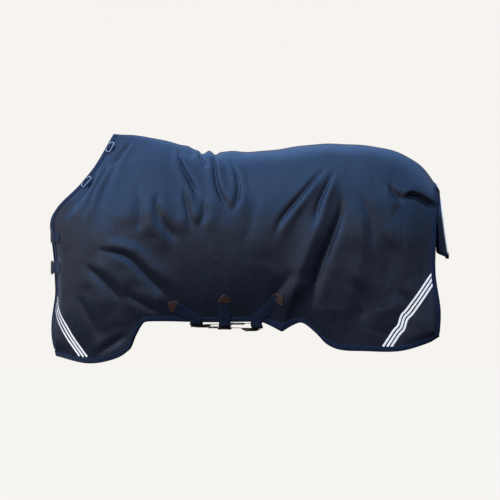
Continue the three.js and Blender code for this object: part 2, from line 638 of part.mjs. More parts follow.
SIDES.forEach((side) => Object.entries(RINGS).forEach(([level, v]) => {
  const edge = frameAt(side, 0, v);
  const along = edge.down.clone().addScaledVector(edge.normal, -edge.down.dot(edge.normal)).normalize();
  const inward = along.clone().cross(edge.normal).normalize();
  if (inward.dot(edge.along) < 0) inward.negate();
  const base = edge.point.clone().addScaledVector(inward, RING_INSET).addScaledVector(edge.normal, LOOP_LIFT);
  const bar = base.clone().addScaledVector(edge.normal, LOOP_EYE);
  const ring = add(`${side}_${level}_neck_ring`, ringBody(), steel);
  stand(ring, bar, inward.clone().cross(edge.normal), inward);
  const points = [base.clone().addScaledVector(inward, LOOP_REACH)];
  for (let k = 0; k <= EYE_STEPS; k += 1) {
    const angle = (Math.PI * k) / EYE_STEPS;
    points.push(bar.clone().addScaledVector(edge.normal, -LOOP_EYE * Math.cos(angle))
      .addScaledVector(inward, -LOOP_EYE * Math.sin(angle)));
  }
  points.push(points.at(-1).clone().addScaledVector(inward, LOOP_RETURN));
  const widths = points.map(() => along);
  add(`${side}_${level}_ring_loop`, band(points, widths, LOOP_WIDTH, LOOP_THICKNESS), navyTrim);
}));

// ---- tail flap, hung from its top seam behind the dock ----
const FLAP_GAP = 5;
const FLAP_TOP = 4; // hinge to the flap's top edge
const FLAP_CORNER = 26; // how far the foot rises at its corners
const FLAP_ROUNDING = 6; // how sharply it rises there
const FLAP_CURL = 1.4; // how late down its length the flap swings out
const FLAP_FOLD = 0.84; // share of the half width where the side gusset folds forwards
const FLAP_LINES = [-1, -FLAP_FOLD, -0.42, 0, 0.42, FLAP_FOLD, 1];
const FLAP_ROWS = 8;
const FLAP_FULL_WIDTH_AT = 0.45; // share of the drop where the flap has reached its full width
const SEAM_DROP = 18; // dock end of the spine down to the flap's seam
const PIPING_FOOT = 0.95; // share of the drop where the piping crosses the flap
const dockEnd = grid.near[COLUMNS][0].point;
const DOCK_ROWS = 4; // rows of the rear edge that the flap covers
const rearmost = Math.max(...grid.near[COLUMNS].slice(0, DOCK_ROWS).map(({ point }) => point.x));
const hinge = new THREE.Vector3(rearmost + FLAP_GAP + FLAP_THICKNESS, 0, dockEnd.z - SEAM_DROP);
// A point of the flap: a runs from -1 at its near edge to 1, b from 0 at its seam to 1 at its foot.
function flapPoint(a, b, lift) {
  const widening = THREE.MathUtils.smoothstep(b, 0, FLAP_FULL_WIDTH_AT);
  const halfWidth = THREE.MathUtils.lerp(FLAP_TOP_HALF_WIDTH, FLAP_HALF_WIDTH, widening);
  const wrapped = Math.max(0, (Math.abs(a) - FLAP_FOLD) / (1 - FLAP_FOLD));
  const drop = FLAP_TOP + b * (FLAP_LENGTH - FLAP_CORNER * a ** FLAP_ROUNDING);
  return new THREE.Vector3(
    hinge.x + FLAP_SWING_OUT * b ** FLAP_CURL - FLAP_WRAP * b * wrapped + lift,
    a * halfWidth,
    hinge.z - drop,
  );
}
add("tail_flap", sheet(
  FLAP_LINES.length - 1,
  FLAP_ROWS,
  (i, j, lift) => flapPoint(FLAP_LINES[i], j / FLAP_ROWS, lift),
  FLAP_THICKNESS / 2,
  -FLAP_THICKNESS / 2,
), navyCloth);

function flapPiping() {
  const lift = FLAP_THICKNESS / 2 + PLY_GAP + PIPING / 2;
  const points = [];
  for (let k = 1; k < FLAP_ROWS; k += 1) points.push(flapPoint(-FLAP_FOLD, k / FLAP_ROWS, lift));
  FLAP_LINES.slice(1, -1).forEach((a) => points.push(flapPoint(a, PIPING_FOOT, lift)));
  for (let k = FLAP_ROWS - 1; k > 0; k -= 1) points.push(flapPoint(FLAP_FOLD, k / FLAP_ROWS, lift));
  const across = points.map((point, k) => {
    const run = points[Math.min(k + 1, points.length - 1)].clone().sub(points[Math.max(k - 1, 0)]);
    return front.clone().cross(run).normalize();
  });
  return band(points, across, PIPING, PIPING);
}
add("tail_flap_piping", flapPiping(), reflective);

// ---- reflective panels on the four lower corners ----
const STRIPE_LIFT = PLY_GAP + BINDING_THICKNESS + PLY_GAP + STRIPE_THICKNESS / 2;
const STRIPES = {
  front: [[0.035, 0.855], [0.14, 0.965]],
  rear: [[0.97, 0.72], [0.83, 0.965]],
};
const STRIPE_STEPS = 9;
SIDES.forEach((side) => Object.entries(STRIPES).forEach(([end, [from, to]]) => {
  const frames = Array.from({ length: STRIPE_STEPS + 1 }, (_, k) => {
    const t = k / STRIPE_STEPS;
    return frameAt(side, from[0] + (to[0] - from[0]) * t, from[1] + (to[1] - from[1]) * t);
  });
  const points = frames.map(({ point, normal }) => point.clone().addScaledVector(normal, STRIPE_LIFT));
  const widths = frames.map(({ normal }, k) => {
    const next = points[Math.min(k + 1, STRIPE_STEPS)].clone();
    return normal.clone().cross(next.sub(points[Math.max(k - 1, 0)])).normalize();
  });
  add(`${side}_${end}_stripe_panel`, band(points, widths, STRIPE_PANEL_WIDTH, STRIPE_THICKNESS), reflective);
}));

group.children.forEach((mesh) => mesh.position.sub(padRest));

export default group;
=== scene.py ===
"""A horse turnout rug in its worn shape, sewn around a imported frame.

The two side panels follow one drawn shape, in millimetres: [along the body, out, up].
Every piece that lies on the cloth takes its place from that shape and from the folds in it.
"""

import json
import math

import bpy
import numpy as np
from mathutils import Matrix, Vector, noise

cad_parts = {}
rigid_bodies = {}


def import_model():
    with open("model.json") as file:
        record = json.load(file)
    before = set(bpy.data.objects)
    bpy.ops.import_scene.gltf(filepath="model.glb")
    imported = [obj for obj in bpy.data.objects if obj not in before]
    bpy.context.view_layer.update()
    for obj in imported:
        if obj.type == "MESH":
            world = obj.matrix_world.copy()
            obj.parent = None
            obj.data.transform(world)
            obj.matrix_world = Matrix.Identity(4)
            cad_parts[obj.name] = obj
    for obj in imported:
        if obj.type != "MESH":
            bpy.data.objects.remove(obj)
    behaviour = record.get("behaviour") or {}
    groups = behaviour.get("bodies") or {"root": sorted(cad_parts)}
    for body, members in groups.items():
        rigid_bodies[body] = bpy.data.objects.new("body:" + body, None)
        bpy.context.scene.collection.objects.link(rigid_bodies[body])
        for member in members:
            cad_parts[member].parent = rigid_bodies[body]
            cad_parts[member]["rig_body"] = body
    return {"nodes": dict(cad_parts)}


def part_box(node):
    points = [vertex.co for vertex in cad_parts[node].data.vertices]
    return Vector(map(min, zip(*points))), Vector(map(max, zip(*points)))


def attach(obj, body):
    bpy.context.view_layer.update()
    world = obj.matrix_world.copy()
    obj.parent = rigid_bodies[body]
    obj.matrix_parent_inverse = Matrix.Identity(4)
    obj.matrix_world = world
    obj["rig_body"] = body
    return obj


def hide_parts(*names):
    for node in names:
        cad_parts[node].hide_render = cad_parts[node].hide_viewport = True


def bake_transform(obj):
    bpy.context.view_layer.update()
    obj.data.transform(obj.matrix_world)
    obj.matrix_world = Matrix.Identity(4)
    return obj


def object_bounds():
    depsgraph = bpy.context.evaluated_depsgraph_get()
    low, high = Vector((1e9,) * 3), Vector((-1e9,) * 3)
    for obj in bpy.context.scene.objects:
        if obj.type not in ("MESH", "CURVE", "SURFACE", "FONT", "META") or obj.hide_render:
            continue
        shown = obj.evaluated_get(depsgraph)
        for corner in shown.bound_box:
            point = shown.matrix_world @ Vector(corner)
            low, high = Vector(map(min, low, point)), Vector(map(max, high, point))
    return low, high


bl_info = {
    "name": "Turnout Rug Maker",
    "version": (1, 0, 0),
    "blender": (4, 5, 0),
    "location": "3D View > Sidebar > Turnout Rug",
    "description": "Sews a horse turnout rug in its worn shape around a packed frame",
    "category": "Add Mesh",
}

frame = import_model()
CAD_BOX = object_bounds()
ROOT = "rug"
SIDES = ("near", "off")
SIGN = {"near": -1.0, "off": 1.0}
MM = 0.001

# ---------------------------------------------------------------- sizes that follow the frame's
SEAM_GAP = 0.4
SHELL_THICKNESS = 2.0
WADDING_THICKNESS = 5.0
LINING_THICKNESS = 1.5
PLY_GAP = 0.6
BINDING_WIDTH = 20.0
BINDING_THICKNESS = 1.2
WEB_WIDTH = 50.0
WEB_THICKNESS = 1.6
WEB_LIFT = 4.8  # the webbing's middle above the cloth where it turns over an edge
WEB_SEWN_LIFT = 1.4  # and where it is sewn down flat
LEATHER_THICKNESS = 2.2
METAL_THICKNESS = 3.0
BAR_DEPTH = 4.0
EYE_CLEARANCE = 0.9
RING_WIRE = 4.0
RING_INSET = 6.0
LOOP_WIDTH = 25.0
LOOP_THICKNESS = 1.2
LOOP_GAP = 0.5
LOOP_REACH = 32.0
LOOP_RETURN = 8.0
PIPING = 5.0
FLAP_LENGTH = 300.0
FLAP_HALF_WIDTH = 175.0
FLAP_TOP_HALF_WIDTH = 92.0
FLAP_WIDENS_BY = 0.45
FLAP_THICKNESS = 5.0
FLAP_SWING_OUT = 33.0
FLAP_WRAP = 42.0
FLAP_FOLD = 0.84
FLAP_CURL = 1.4
FLAP_TOP = 4.0
FLAP_CORNER = 26.0
PIPING_FOOT = 0.95

# ---------------------------------------------------------------- the drawn shape of one side
# Ten sections from the front edge to the rear edge, each with seven points from spine to hem.
FRONT_EDGE = {
    "near": [(-339, 0, 57), (-418, 118, -88), (-513, 150, -211), (-583, 98, -320),
             (-592, 75, -470), (-588, 70, -690), (-581, 80, -924)],
    "off": [(-339, 0, 57), (-418, 118, -88), (-513, 140, -211), (-592, 50, -320),
            (-602, -30, -470), (-596, -28, -690), (-585, 0, -924)],
}
SECTIONS = [
    [(-290, 0, 53), (-365, 135, -80), (-450, 195, -215), (-525, 190, -335),
     (-552, 175, -480), (-556, 165, -690), (-510, 170, -942)],
    [(-190, 0, 44), (-270, 160, -60), (-330, 245, -215), (-390, 275, -350),
     (-430, 275, -490), (-435, 265, -700), (-380, 255, -942)],
    [(-75, 0, 20), (-130, 175, -60), (-170, 270, -200), (-205, 305, -350),
     (-220, 310, -500), (-215, 300, -680), (-190, 285, -800)],
    [(66, 0, -22), (55, 165, -75), (40, 270, -200), (30, 312, -350),
     (25, 318, -500), (25, 300, -650), (30, 262, -770)],
    [(330, 0, -17), (325, 170, -65), (315, 275, -190), (305, 318, -345),
     (300, 322, -500), (300, 302, -650), (300, 262, -770)],
    [(616, 0, 9), (610, 165, -35), (600, 270, -160), (590, 308, -330),
     (590, 312, -510), (590, 300, -680), (590, 280, -850)],
    [(858, 0, -9), (845, 150, -55), (830, 240, -170), (820, 285, -340),
     (815, 292, -520), (810, 288, -710), (800, 280, -898)],
    [(1000, 0, -75), (985, 120, -115), (975, 205, -215), (965, 258, -370),
     (960, 272, -540), (965, 275, -720), (965, 270, -890)],
    [(1091, 0, -172), (1093, 80, -195), (1090, 145, -260), (1083, 200, -400),
     (1080, 228, -563), (1100, 240, -720), (1095, 240, -836)],
]
HEM = np.array([
    (-581, -924), (-458, -953), (-352, -939), (-273, -898), (-246, -836), (-213, -781),
    (-176, -768), (88, -772), (308, -770), (492, -774), (550, -815), (600, -866), (660, -892),
    (760, -898), (924, -898), (1050, -862), (1095, -836)], float)
HEM_PULL = 5  # a power of the share down the panel: only the lowest cloth is drawn to the hem's line

# A fold is its line as seen from the near side, [along, up] from its top to its foot, then how
# deep its valley is, how wide, and how high the cloth stands beside it, behind and before.
FOLDS = [
    # neck creases behind the front edge
    ([(-246, 40), (-308, -31), (-352, -92)], 11, 8, 6, 3),
    ([(-352, -60), (-418, -189), (-475, -343)], 13, 9, 8, 2),
    ([(-395, -80), (-462, -198), (-546, -330)], 13, 15, 7, 3),
    ([(-300, -40), (-372, -180), (-420, -320)], 5, 12, 3, 4),
    # folds that hang from the withers
    ([(-58, 5), (-40, -70), (0, -150), (52, -250)], 20, 8, 6, 9),
    ([(28, -16), (52, -52), (80, -100)], 24, 10, 9, 4),
    ([(108, -24), (110, -100), (128, -195), (184, -310)], 20, 8, 11, 6),
    ([(158, -36), (206, -120), (212, -220), (185, -308)], 17, 8, 5, 8),
    ([(-31, -163), (-9, -273), (13, -374)], 12, 9, 8, 4),
    ([(-150, -230), (-120, -330), (-40, -440)], 11, 18, 8, 6),
    ([(60, -215), (64, -290), (40, -370)], 11, 12, 8, 4),
    ([(-240, -150), (-215, -290), (-240, -390)], 7, 20, 5, 5),
    ([(-130, -180), (-150, -280), (-120, -400)], 5, 12, 4, 4),
    # the long drape from the chest under the shoulder to the girth
    ([(-425, -455), (-330, -470), (-264, -497), (-198, -563), (-132, -629), (-60, -700)], 16, 15, 12, 5),
    ([(-470, -515), (-374, -600), (-286, -695)], 9, 17, 9, 8),
    ([(-510, -640), (-440, -760), (-400, -850)], 6, 22, 6, 4),
    ([(-427, -925), (-350, -880), (-268, -823)], 10, 12, 6, 6),
    ([(-300, -640), (-200, -700), (-120, -740)], 7, 14, 6, 4),
    # the fan of folds below the hip
    ([(622, -72), (545, -150), (470, -240), (404, -325), (365, -420)], 17, 9, 11, 3),
    ([(642, -100), (600, -180), (565, -262), (548, -365)], 18, 9, 11, 3),
    ([(660, -150), (664, -286), (616, -431), (580, -519), (550, -629), (537, -739)], 28, 21, 0, 0),
    ([(610, -240), (545, -400), (480, -560), (430, -700)], -17, 44, 0, 0),
    ([(740, -200), (760, -400), (740, -560), (690, -720)], -9, 60, 0, 0),
    ([(745, -180), (795, -330), (805, -480)], 8, 22, 5, 5),
    ([(830, -330), (870, -480), (860, -640)], 5, 26, 4, 4),
    ([(405, -815), (430, -700), (500, -560)], -12, 26, -3, -3),
    ([(330, -690), (400, -620), (450, -540)], 8, 20, 4, 6),
    ([(300, -180), (270, -330), (220, -470)], 5, 26, 4, 4),
    # the wedge below the croup that runs down to the dart
    ([(868, -160), (905, -212), (946, -252)], 13, 11, 3, 6),
    # low rear corner
    ([(905, -620), (960, -700), (930, -800)], 6, 24, 5, 4),
    ([(700, -560), (760, -690), (740, -800)], 6, 28, 5, 4),
]
# The dart's upper edge laps over the cloth below it: [along, up]. Then the height of the lap, how
# softly its edge rounds, how far up it fades, and the hollow below it: how deep, where, how wide.
DART = [(936, -236), (962, -212), (1000, -215), (1045, -238), (1096, -268)]
DART_HEIGHT = 15.0
DART_EDGE = 4.0
DART_RISE = 60.0
DART_HOLLOW = 12.0
DART_HOLLOW_BELOW = 10.0
DART_HOLLOW_WIDTH = 11.0
# Dips along the spine: [along, depth, width].
SPINE_DIPS = [(56, 15, 13), (112, 12, 13), (-14, -8, 24), (84, -6, 12), (190, -5, 40), (620, -6, 190),
              (1010, -9, 90)]
# How far the front edge is drawn forward: [up, forward].
FRONT_DRAW = [(60, 0), (-190, 5), (-233, 24), (-286, 30), (-339, 26), (-392, 16), (-450, 8), (-520, 0),
              (-650, 0), (-710, 10), (-765, 19), (-820, 22), (-870, 18), (-915, 5), (-960, 0)]
FRONT_DRAW_REACH = 0.15
# The reflective stripes' lines, as shares along and down a panel.
STRIPES = {
    "front": ((0.014, 0.832), (0.157, 0.983)),
    "rear": ((0.988, 0.688), (0.8185, 0.985)),
}
# Beyond the stripes the lower corners flare out: how far out for each millimetre past them.
CORNER_FLARE = 0.16
CORNER_SPAN = 1100.0  # a panel's size, to turn shares into millimetres
CORNER_EASE = 10.0  # how softly the flare begins
# The loose point that the hem drops behind the rear strap.
HEM_POINT = {"along": 405.0, "front": 92.0, "rear": 80.0, "drop": 46.0, "curve": 1.15, "pull": 14}


def with_ends(points, axis=0):
    """The points with one more at each end, in line with the last two."""
    points = np.moveaxis(points, axis, 0)
    longer = np.concatenate([[2 * points[0] - points[1]], points, [2 * points[-1] - points[-2]]])
    return np.moveaxis(longer, 0, axis)


def spline_weights(count, share):
    """How much each of count points, and one more at each end, counts at each share of a curve."""
    place = np.clip(share, 0, 1) * (count - 1)
    first = np.minimum(place.astype(int), count - 2)
    w = place - first
    weights = np.zeros((len(w), count + 2))
    rows = np.arange(len(w))
    weights[rows, first] = (-w + 2 * w**2 - w**3) / 2
    weights[rows, first + 1] = (2 - 5 * w**2 + 3 * w**3) / 2
    weights[rows, first + 2] = (w + 4 * w**2 - 3 * w**3) / 2
    weights[rows, first + 3] = (w**3 - w**2) / 2
    return weights


def side_net(side):
    """The side's drawn points, with each section started from its first point across the spine."""
    sections = np.array([FRONT_EDGE[side], *SECTIONS], float)
    across = sections[:, 1:2] * (1, -1, 1)
    return with_ends(with_ends(np.concatenate([across, sections], axis=1), 1), 0)


NETS = {side: side_net(side) for side in SIDES}
LEVELS = len(FRONT_EDGE["near"]) - 1
STATIONS = len(SECTIONS) + 1


def loft(side, u, v):
    along = spline_weights(STATIONS, u)
    down = spline_weights(LEVELS + 2, (1 + LEVELS * v) / (LEVELS + 1))
    columns = np.tensordot(along, NETS[side], axes=(1, 0))
    return np.einsum("nb,nbk->nk", down, columns)


def hem_height(x):
    """Height of the hem at a place along the body: a smooth line through the outline's points."""
    slopes = np.empty(len(HEM))
    slopes[1:-1] = (HEM[2:, 1] - HEM[:-2, 1]) / (HEM[2:, 0] - HEM[:-2, 0])
    slopes[0] = (HEM[1, 1] - HEM[0, 1]) / (HEM[1, 0] - HEM[0, 0])
    slopes[-1] = (HEM[-1, 1] - HEM[-2, 1]) / (HEM[-1, 0] - HEM[-2, 0])
    k = np.clip(np.searchsorted(HEM[:, 0], x, side="right") - 1, 0, len(HEM) - 2)
    span = HEM[k + 1, 0] - HEM[k, 0]
    t = np.clip((x - HEM[k, 0]) / span, 0, 1)
    return (HEM[k, 1] * (1 + 2 * t) * (1 - t) ** 2 + HEM[k + 1, 1] * t * t * (3 - 2 * t)
            + span * (slopes[k] * t * (1 - t) ** 2 - slopes[k + 1] * t * t * (1 - t)))


def surface(side, u, v):
    """The smooth shape that the frame's panels have, before any folds."""
    point = loft(side, u, v)
    edge = loft(side, u, np.ones_like(u))
    point[:, 2] += (hem_height(edge[:, 0]) - edge[:, 2]) * v**HEM_PULL
    point[:, 1] = SIGN[side] * np.where(v == 0, SEAM_GAP / 2, point[:, 1])
    return point


STEP = 0.004


def unit(vectors):
    return vectors / np.maximum(np.linalg.norm(vectors, axis=-1, keepdims=True), 1e-12)


def cloth_frame(side, u, v):
    """Point, outward normal, and the directions along and down, all for arrays of places."""
    u0, u1 = np.maximum(u - STEP, 0), np.minimum(u + STEP, 1)
    v0, v1 = np.maximum(v - STEP, 0), np.minimum(v + STEP, 1)
    along = (surface(side, u1, v) - surface(side, u0, v)) / (u1 - u0)[:, None]
    down = (surface(side, u, v1) - surface(side, u, v0)) / (v1 - v0)[:, None]
    normal = np.cross(along, down) * SIGN[side]
    normal[v == 0, 1] = 0
    return surface(side, u, v), unit(normal), along, down


def smooth_step(low, high, x):
    t = np.clip((x - low) / (high - low), 0, 1)
    return t * t * (3 - 2 * t)


def bump(x):
    return np.exp(-x * x)


def crease(x):
    """A valley with a pinched bottom."""
    return 0.5 * bump(x) + 0.5 * np.exp(-1.6 * np.abs(x))


def along_line(line, x, z, samples=48):
    """For each place: its signed distance from a smooth line, behind it positive, and its share along."""
    points = np.array(line, float)
    dense = spline_weights(len(points), np.linspace(0, 1, samples)) @ with_ends(points)
    a, d = dense[:-1], np.diff(dense, axis=0)
    offset = np.stack([x, z], 1)[:, None] - a[None]
    t = np.clip((offset * d).sum(2) / (d * d).sum(1), 0, 1)
    away = offset - t[..., None] * d
    best = np.argmin((away**2).sum(2), axis=1)
    rows = np.arange(len(x))
    way = d[best] / np.linalg.norm(d[best], axis=1, keepdims=True)
    gap = offset[rows, best]
    side = np.sign(-gap[:, 0] * way[:, 1] + gap[:, 1] * way[:, 0])
    distance = np.linalg.norm(away[rows, best], axis=1)
    return side * distance, (best + t[rows, best]) / (samples - 1)


FOLD_REACH = 5.5  # how far from its line a fold still counts, in widths
FOLD_FADE = 0.35  # from this share of the way from its middle to its ends, a fold dies away
FOLD_SPREAD = 0.75  # its width where its line starts and what it gains by the end, as shares of the width
FOLD_SHOULDER, FOLD_SHOULDER_WIDTH = 2.4, 2.1  # where the cloth stands up beside it, in widths
OFF_SWAY, OFF_SWAY_LENGTH = 14.0, 140.0  # the off side's folds wander a little from the near side's
# Small wrinkles: height, length along, length down, and where in the noise they start.
WRINKLES = [(4.5, 150, 420, 3.1), (2.2, 62, 170, 7.7), (0.7, 23, 40, 1.9)]
OFF_SEED = 40.0
SPINE_BLEND = 0.11  # the share down a panel over which its own shape takes over from the spine's
SPINE_START, SPINE_FULL = -339, -260  # where along the spine its own shape begins and is full
SPINE_RIPPLES = [(1.5, 61), (0.8, 23)]
# Near its edges the cloth lies calmer: over which shares of the panel, the least share of its height
# that is left, and how far in, in those shares, it is back to the full height.
EDGE_CALM = {"front": 0.03, "rear": 0.02, "hem": 0.04, "least": 0.35, "full": 1.6}
# Where straps and loops are sewn the cloth loses most of its height: how much of it, and the places as
# [along, down, reach along, reach down].
CALM_SHARE = 0.85
CALM = [(0.0, 0.085, 0.03, 0.05), (0.0, 0.25, 0.03, 0.05), (0.02, 0.589, 0.05, 0.05),
        (0.02, 0.72, 0.05, 0.05), (0.44, 0.97, 0.03, 0.06), (0.497, 0.93, 0.02, 0.1),
        (0.5555, 0.97, 0.03, 0.06)]


def corner_flare(u, v):
    """Out-turn of the two lower corners beyond their stripes."""
    flare = np.zeros(len(u))
    for (u0, v0), (u1, v1) in STRIPES.values():
        across = ((u - u0) * (v1 - v0) - (v - v0) * (u1 - u0)) * math.copysign(1, u0 - u1)
        past = across / math.hypot(u1 - u0, v1 - v0) * CORNER_SPAN
        flare += CORNER_FLARE * (past + np.sqrt(past * past + CORNER_EASE**2)) / 2
    return flare


def front_draw(u, z):
    """How far the front edge's cloth is drawn forward at a height."""
    heights, reach = np.array(FRONT_DRAW[::-1], float).T
    smoothed = sum(np.interp(z + step, heights, reach) for step in (-24, -12, 0, 12, 24)) / 5
    return smoothed * (1 - smooth_step(0, FRONT_DRAW_REACH, u))


def drape(side, u, v, point):
    """How far the cloth stands off the smooth shape, in millimetres."""
    sizes = bpy.context.scene.rug_cloth
    x, z = point[:, 0], point[:, 2]
    if side == "off":
        x = x + OFF_SWAY * np.sin(z / OFF_SWAY_LENGTH)
    height = np.zeros(len(x))
    for line, depth, width, behind, before in FOLDS:
        box = np.array(line, float)
        reach = width * FOLD_REACH
        close = ((x > box[:, 0].min() - reach) & (x < box[:, 0].max() + reach)
                 & (z > box[:, 1].min() - reach) & (z < box[:, 1].max() + reach))
        s, t = along_line(line, x[close], z[close])
        end = np.abs(t - 0.5) * 2
        fade = 1 - smooth_step(FOLD_FADE, 1.0, end)
        spread = width * (FOLD_SPREAD + FOLD_SPREAD * t)
        shoulder, reach = FOLD_SHOULDER * spread, FOLD_SHOULDER_WIDTH * spread
        shape = (-depth * crease(s / spread) + behind * bump((s - shoulder) / reach)
                 + before * bump((s + shoulder) / reach))
        height[close] += fade * shape
    s, t = along_line(DART, x, z)
    along_dart = smooth_step(0, 0.3, t) * (1 - smooth_step(0.94, 1, t))
    height += DART_HEIGHT * smooth_step(-DART_EDGE, DART_EDGE, s) * bump(s / DART_RISE) * along_dart
    height -= DART_HOLLOW * bump((s + DART_HOLLOW_BELOW) / DART_HOLLOW_WIDTH) * along_dart
    height += corner_flare(u, v)
    seed = 0.0 if side == "near" else OFF_SEED
    height += np.array([
        sum(size * noise.noise((a / along + seed, b / down, start)) for size, along, down, start in WRINKLES)
        for a, b in zip(x, z)])
    for at_u, at_v, reach_u, reach_v in CALM:
        height *= 1 - CALM_SHARE * bump((u - at_u) / reach_u) * bump((v - at_v) / reach_v)
    own = smooth_step(0, SPINE_BLEND, v)
    shared = np.zeros(len(x))
    for place, depth, width in SPINE_DIPS:
        shared -= depth * bump((point[:, 0] - place) / width)
    shared += sum(size * np.sin(point[:, 0] / length) for size, length in SPINE_RIPPLES)
    total = height * own + shared * (1 - own) * smooth_step(SPINE_START, SPINE_FULL, point[:, 0])
    edge = np.minimum(np.minimum(u / EDGE_CALM["front"], (1 - u) / EDGE_CALM["rear"]),
                      (1 - v) / EDGE_CALM["hem"])
    total *= EDGE_CALM["least"] + (1 - EDGE_CALM["least"]) * smooth_step(0, EDGE_CALM["full"], edge)
    return total * sizes.fold_height


EDGE_PINCH = 0.42
PINCH_SIDE, PINCH_HEM = 0.016, 0.03  # the scale of the pressed strip, as shares of the panel


def pinch(u, v):
    """Share of the plies' full thickness: the bindings press the edges flat."""
    edge = np.minimum(np.minimum(u / PINCH_SIDE, (1 - u) / PINCH_SIDE), (1 - v) / PINCH_HEM)
    return EDGE_PINCH + (1 - EDGE_PINCH) * smooth_step(0.6, 2.2, edge)


def hem_point_drop(x, v):
    """How far the loose point pulls the cloth down."""
    away = x - HEM_POINT["along"]
    reach = np.where(away < 0, HEM_POINT["front"], HEM_POINT["rear"])
    share = np.maximum(0, 1 - np.abs(away) / reach) ** HEM_POINT["curve"]
    return HEM_POINT["drop"] * share * v ** HEM_POINT["pull"]


def cloth(side, u, v, lift=0.0, pinched=True):
    """Points of the draped cloth at a lift above its outer face, with their normals."""
    u, v = np.atleast_1d(np.asarray(u, float)), np.atleast_1d(np.asarray(v, float))
    point, normal, along, down = cloth_frame(side, u, v)
    offset = drape(side, u, v, point) + (lift * (pinch(u, v) if pinched else 1.0))
    drawn = front_draw(u, point[:, 2])
    point = point + normal * offset[:, None]
    point[:, 0] -= drawn
    point[:, 2] -= hem_point_drop(point[:, 0], v)
    return point, normal, along, down


# ---------------------------------------------------------------- from the drawing to the frame
def neck_top(node):
    """The highest vertex of a panel of the frame, which is the drawn shape's first point."""
    return max((vertex.co for vertex in frame["nodes"][node].data.vertices), key=lambda co: co.z)


def drawing_shift():
    drawn = surface("near", np.zeros(1), np.zeros(1))[0]
    top = neck_top("near_shell")
    return np.array((top.x * 1000 - drawn[0], 0.0, top.z * 1000 - drawn[2]))


SHIFT = drawing_shift()


def placed(points):
    return (np.asarray(points, float) + SHIFT) * MM


# ---------------------------------------------------------------- making meshes
def mesh_piece(name, points, faces, finish, uv=None, smooth=True):
    """A new piece from points in the drawing. uv is one pair for each point, in metres of cloth."""
    mesh = bpy.data.meshes.new(name)
    mesh.from_pydata(placed(points).tolist(), [], faces)
    if uv is not None:
        corner = np.empty(len(mesh.loops), np.int32)
        mesh.loops.foreach_get("vertex_index", corner)
        layer = mesh.uv_layers.new(name="cut")
        layer.data.foreach_set("uv", (np.asarray(uv, float) * MM)[corner].ravel())
    mesh.materials.append(finish)
    mesh.polygons.foreach_set("use_smooth", [smooth] * len(mesh.polygons))
    mesh.update()
    piece = bpy.data.objects.new(name, mesh)
    bpy.context.scene.collection.objects.link(piece)
    return piece


def select_only(piece):
    for other in bpy.context.view_layer.objects:
        other.select_set(False)
    piece.select_set(True)
    bpy.context.view_layer.objects.active = piece


def outward(piece):
    """Turns every face of a closed piece outwards."""
    select_only(piece)
    bpy.ops.object.mode_set(mode="EDIT")
    bpy.ops.mesh.select_all(action="SELECT")
    bpy.ops.mesh.normals_make_consistent(inside=False)
    bpy.ops.object.mode_set(mode="OBJECT")
    return piece


def crisp(piece, degrees=38):
    select_only(piece)
    bpy.ops.object.shade_smooth_by_angle(angle=math.radians(degrees))
    return piece


def arc_lengths(rows):
    """Distance along each row of a grid from its middle column."""
    steps = np.linalg.norm(np.diff(rows, axis=0), axis=2)
    length = np.concatenate([np.zeros((1, rows.shape[1])), np.cumsum(steps, axis=0)])
    return length - length[len(length) // 2]


def grid_solid(name, top, bottom, finish):
    """A closed sheet between two grids of points."""
    m, n = top.shape[:2]
    index = np.arange(m * n).reshape(m, n)
    a, b, c, d = index[:-1, :-1], index[1:, :-1], index[1:, 1:], index[:-1, 1:]
    upper = np.stack([a, b, c, d], -1).reshape(-1, 4)
    lower = upper[:, ::-1] + m * n
    rim = np.concatenate([index[:, 0], index[-1, 1:], index[-2::-1, -1], index[0, -2:0:-1]])
    following = np.roll(rim, -1)
    wall = np.stack([following, rim, rim + m * n, following + m * n], -1)
    down = np.swapaxes(arc_lengths(np.swapaxes(top, 0, 1)), 0, 1)
    uv = np.stack([arc_lengths(top), down], -1).reshape(-1, 2)
    faces = np.concatenate([upper, lower, wall]).tolist()
    points = np.concatenate([top.reshape(-1, 3), bottom.reshape(-1, 3)])
    return outward(mesh_piece(name, points, faces, finish, np.concatenate([uv, uv])))


def sweep(name, rings, finish, across=None, closed=False):
    """A body through rings of points. across gives each ring point's distance over the piece."""
    rings = np.asarray(rings, float)
    m, n = rings.shape[:2]
    index = np.arange(m * n).reshape(m, n)
    ahead = np.roll(index, -1, axis=0) if closed else index[1:]
    start = index if closed else index[:-1]
    faces = np.stack([start, np.roll(start, -1, 1), np.roll(ahead, -1, 1), ahead], -1).reshape(-1, 4).tolist()
    if not closed:
        faces += [index[0].tolist(), index[-1][::-1].tolist()]
    middles = rings.mean(axis=1)
    run = np.concatenate([[0], np.cumsum(np.linalg.norm(np.diff(middles, axis=0), axis=1))])
    if across is None:
        across = np.concatenate([[0], np.cumsum(np.linalg.norm(np.diff(rings[0], axis=0), axis=1))])
    uv = np.stack([np.tile(across, m), np.repeat(run, n)], -1)
    return outward(mesh_piece(name, rings.reshape(-1, 3), faces, finish, uv))


BAND_ROUND = 0.35


def band_rings(points, widths, width, thickness):
    """Rings of a flat band with eased edges, square to its run."""
    run = unit(np.gradient(np.asarray(points, float), axis=0))
    across = unit(np.asarray(widths, float))
    face = np.cross(across, run)
    half = width / 2 / np.linalg.norm(face, axis=1)
    rise = unit(face) * thickness / 2
    ease = thickness * BAND_ROUND / (width / 2)
    profile = [(-1, -0.45), (ease - 1, -1), (-0.33, -1), (0.33, -1), (1 - ease, -1), (1, -0.45),
               (1, 0.45), (1 - ease, 1), (0.33, 1), (-0.33, 1), (ease - 1, 1), (-1, 0.45)]
    rings = np.stack([points + across * (half * a)[:, None] + rise * b for a, b in profile], 1)
    return rings, np.array([a * width / 2 for a, _ in profile])


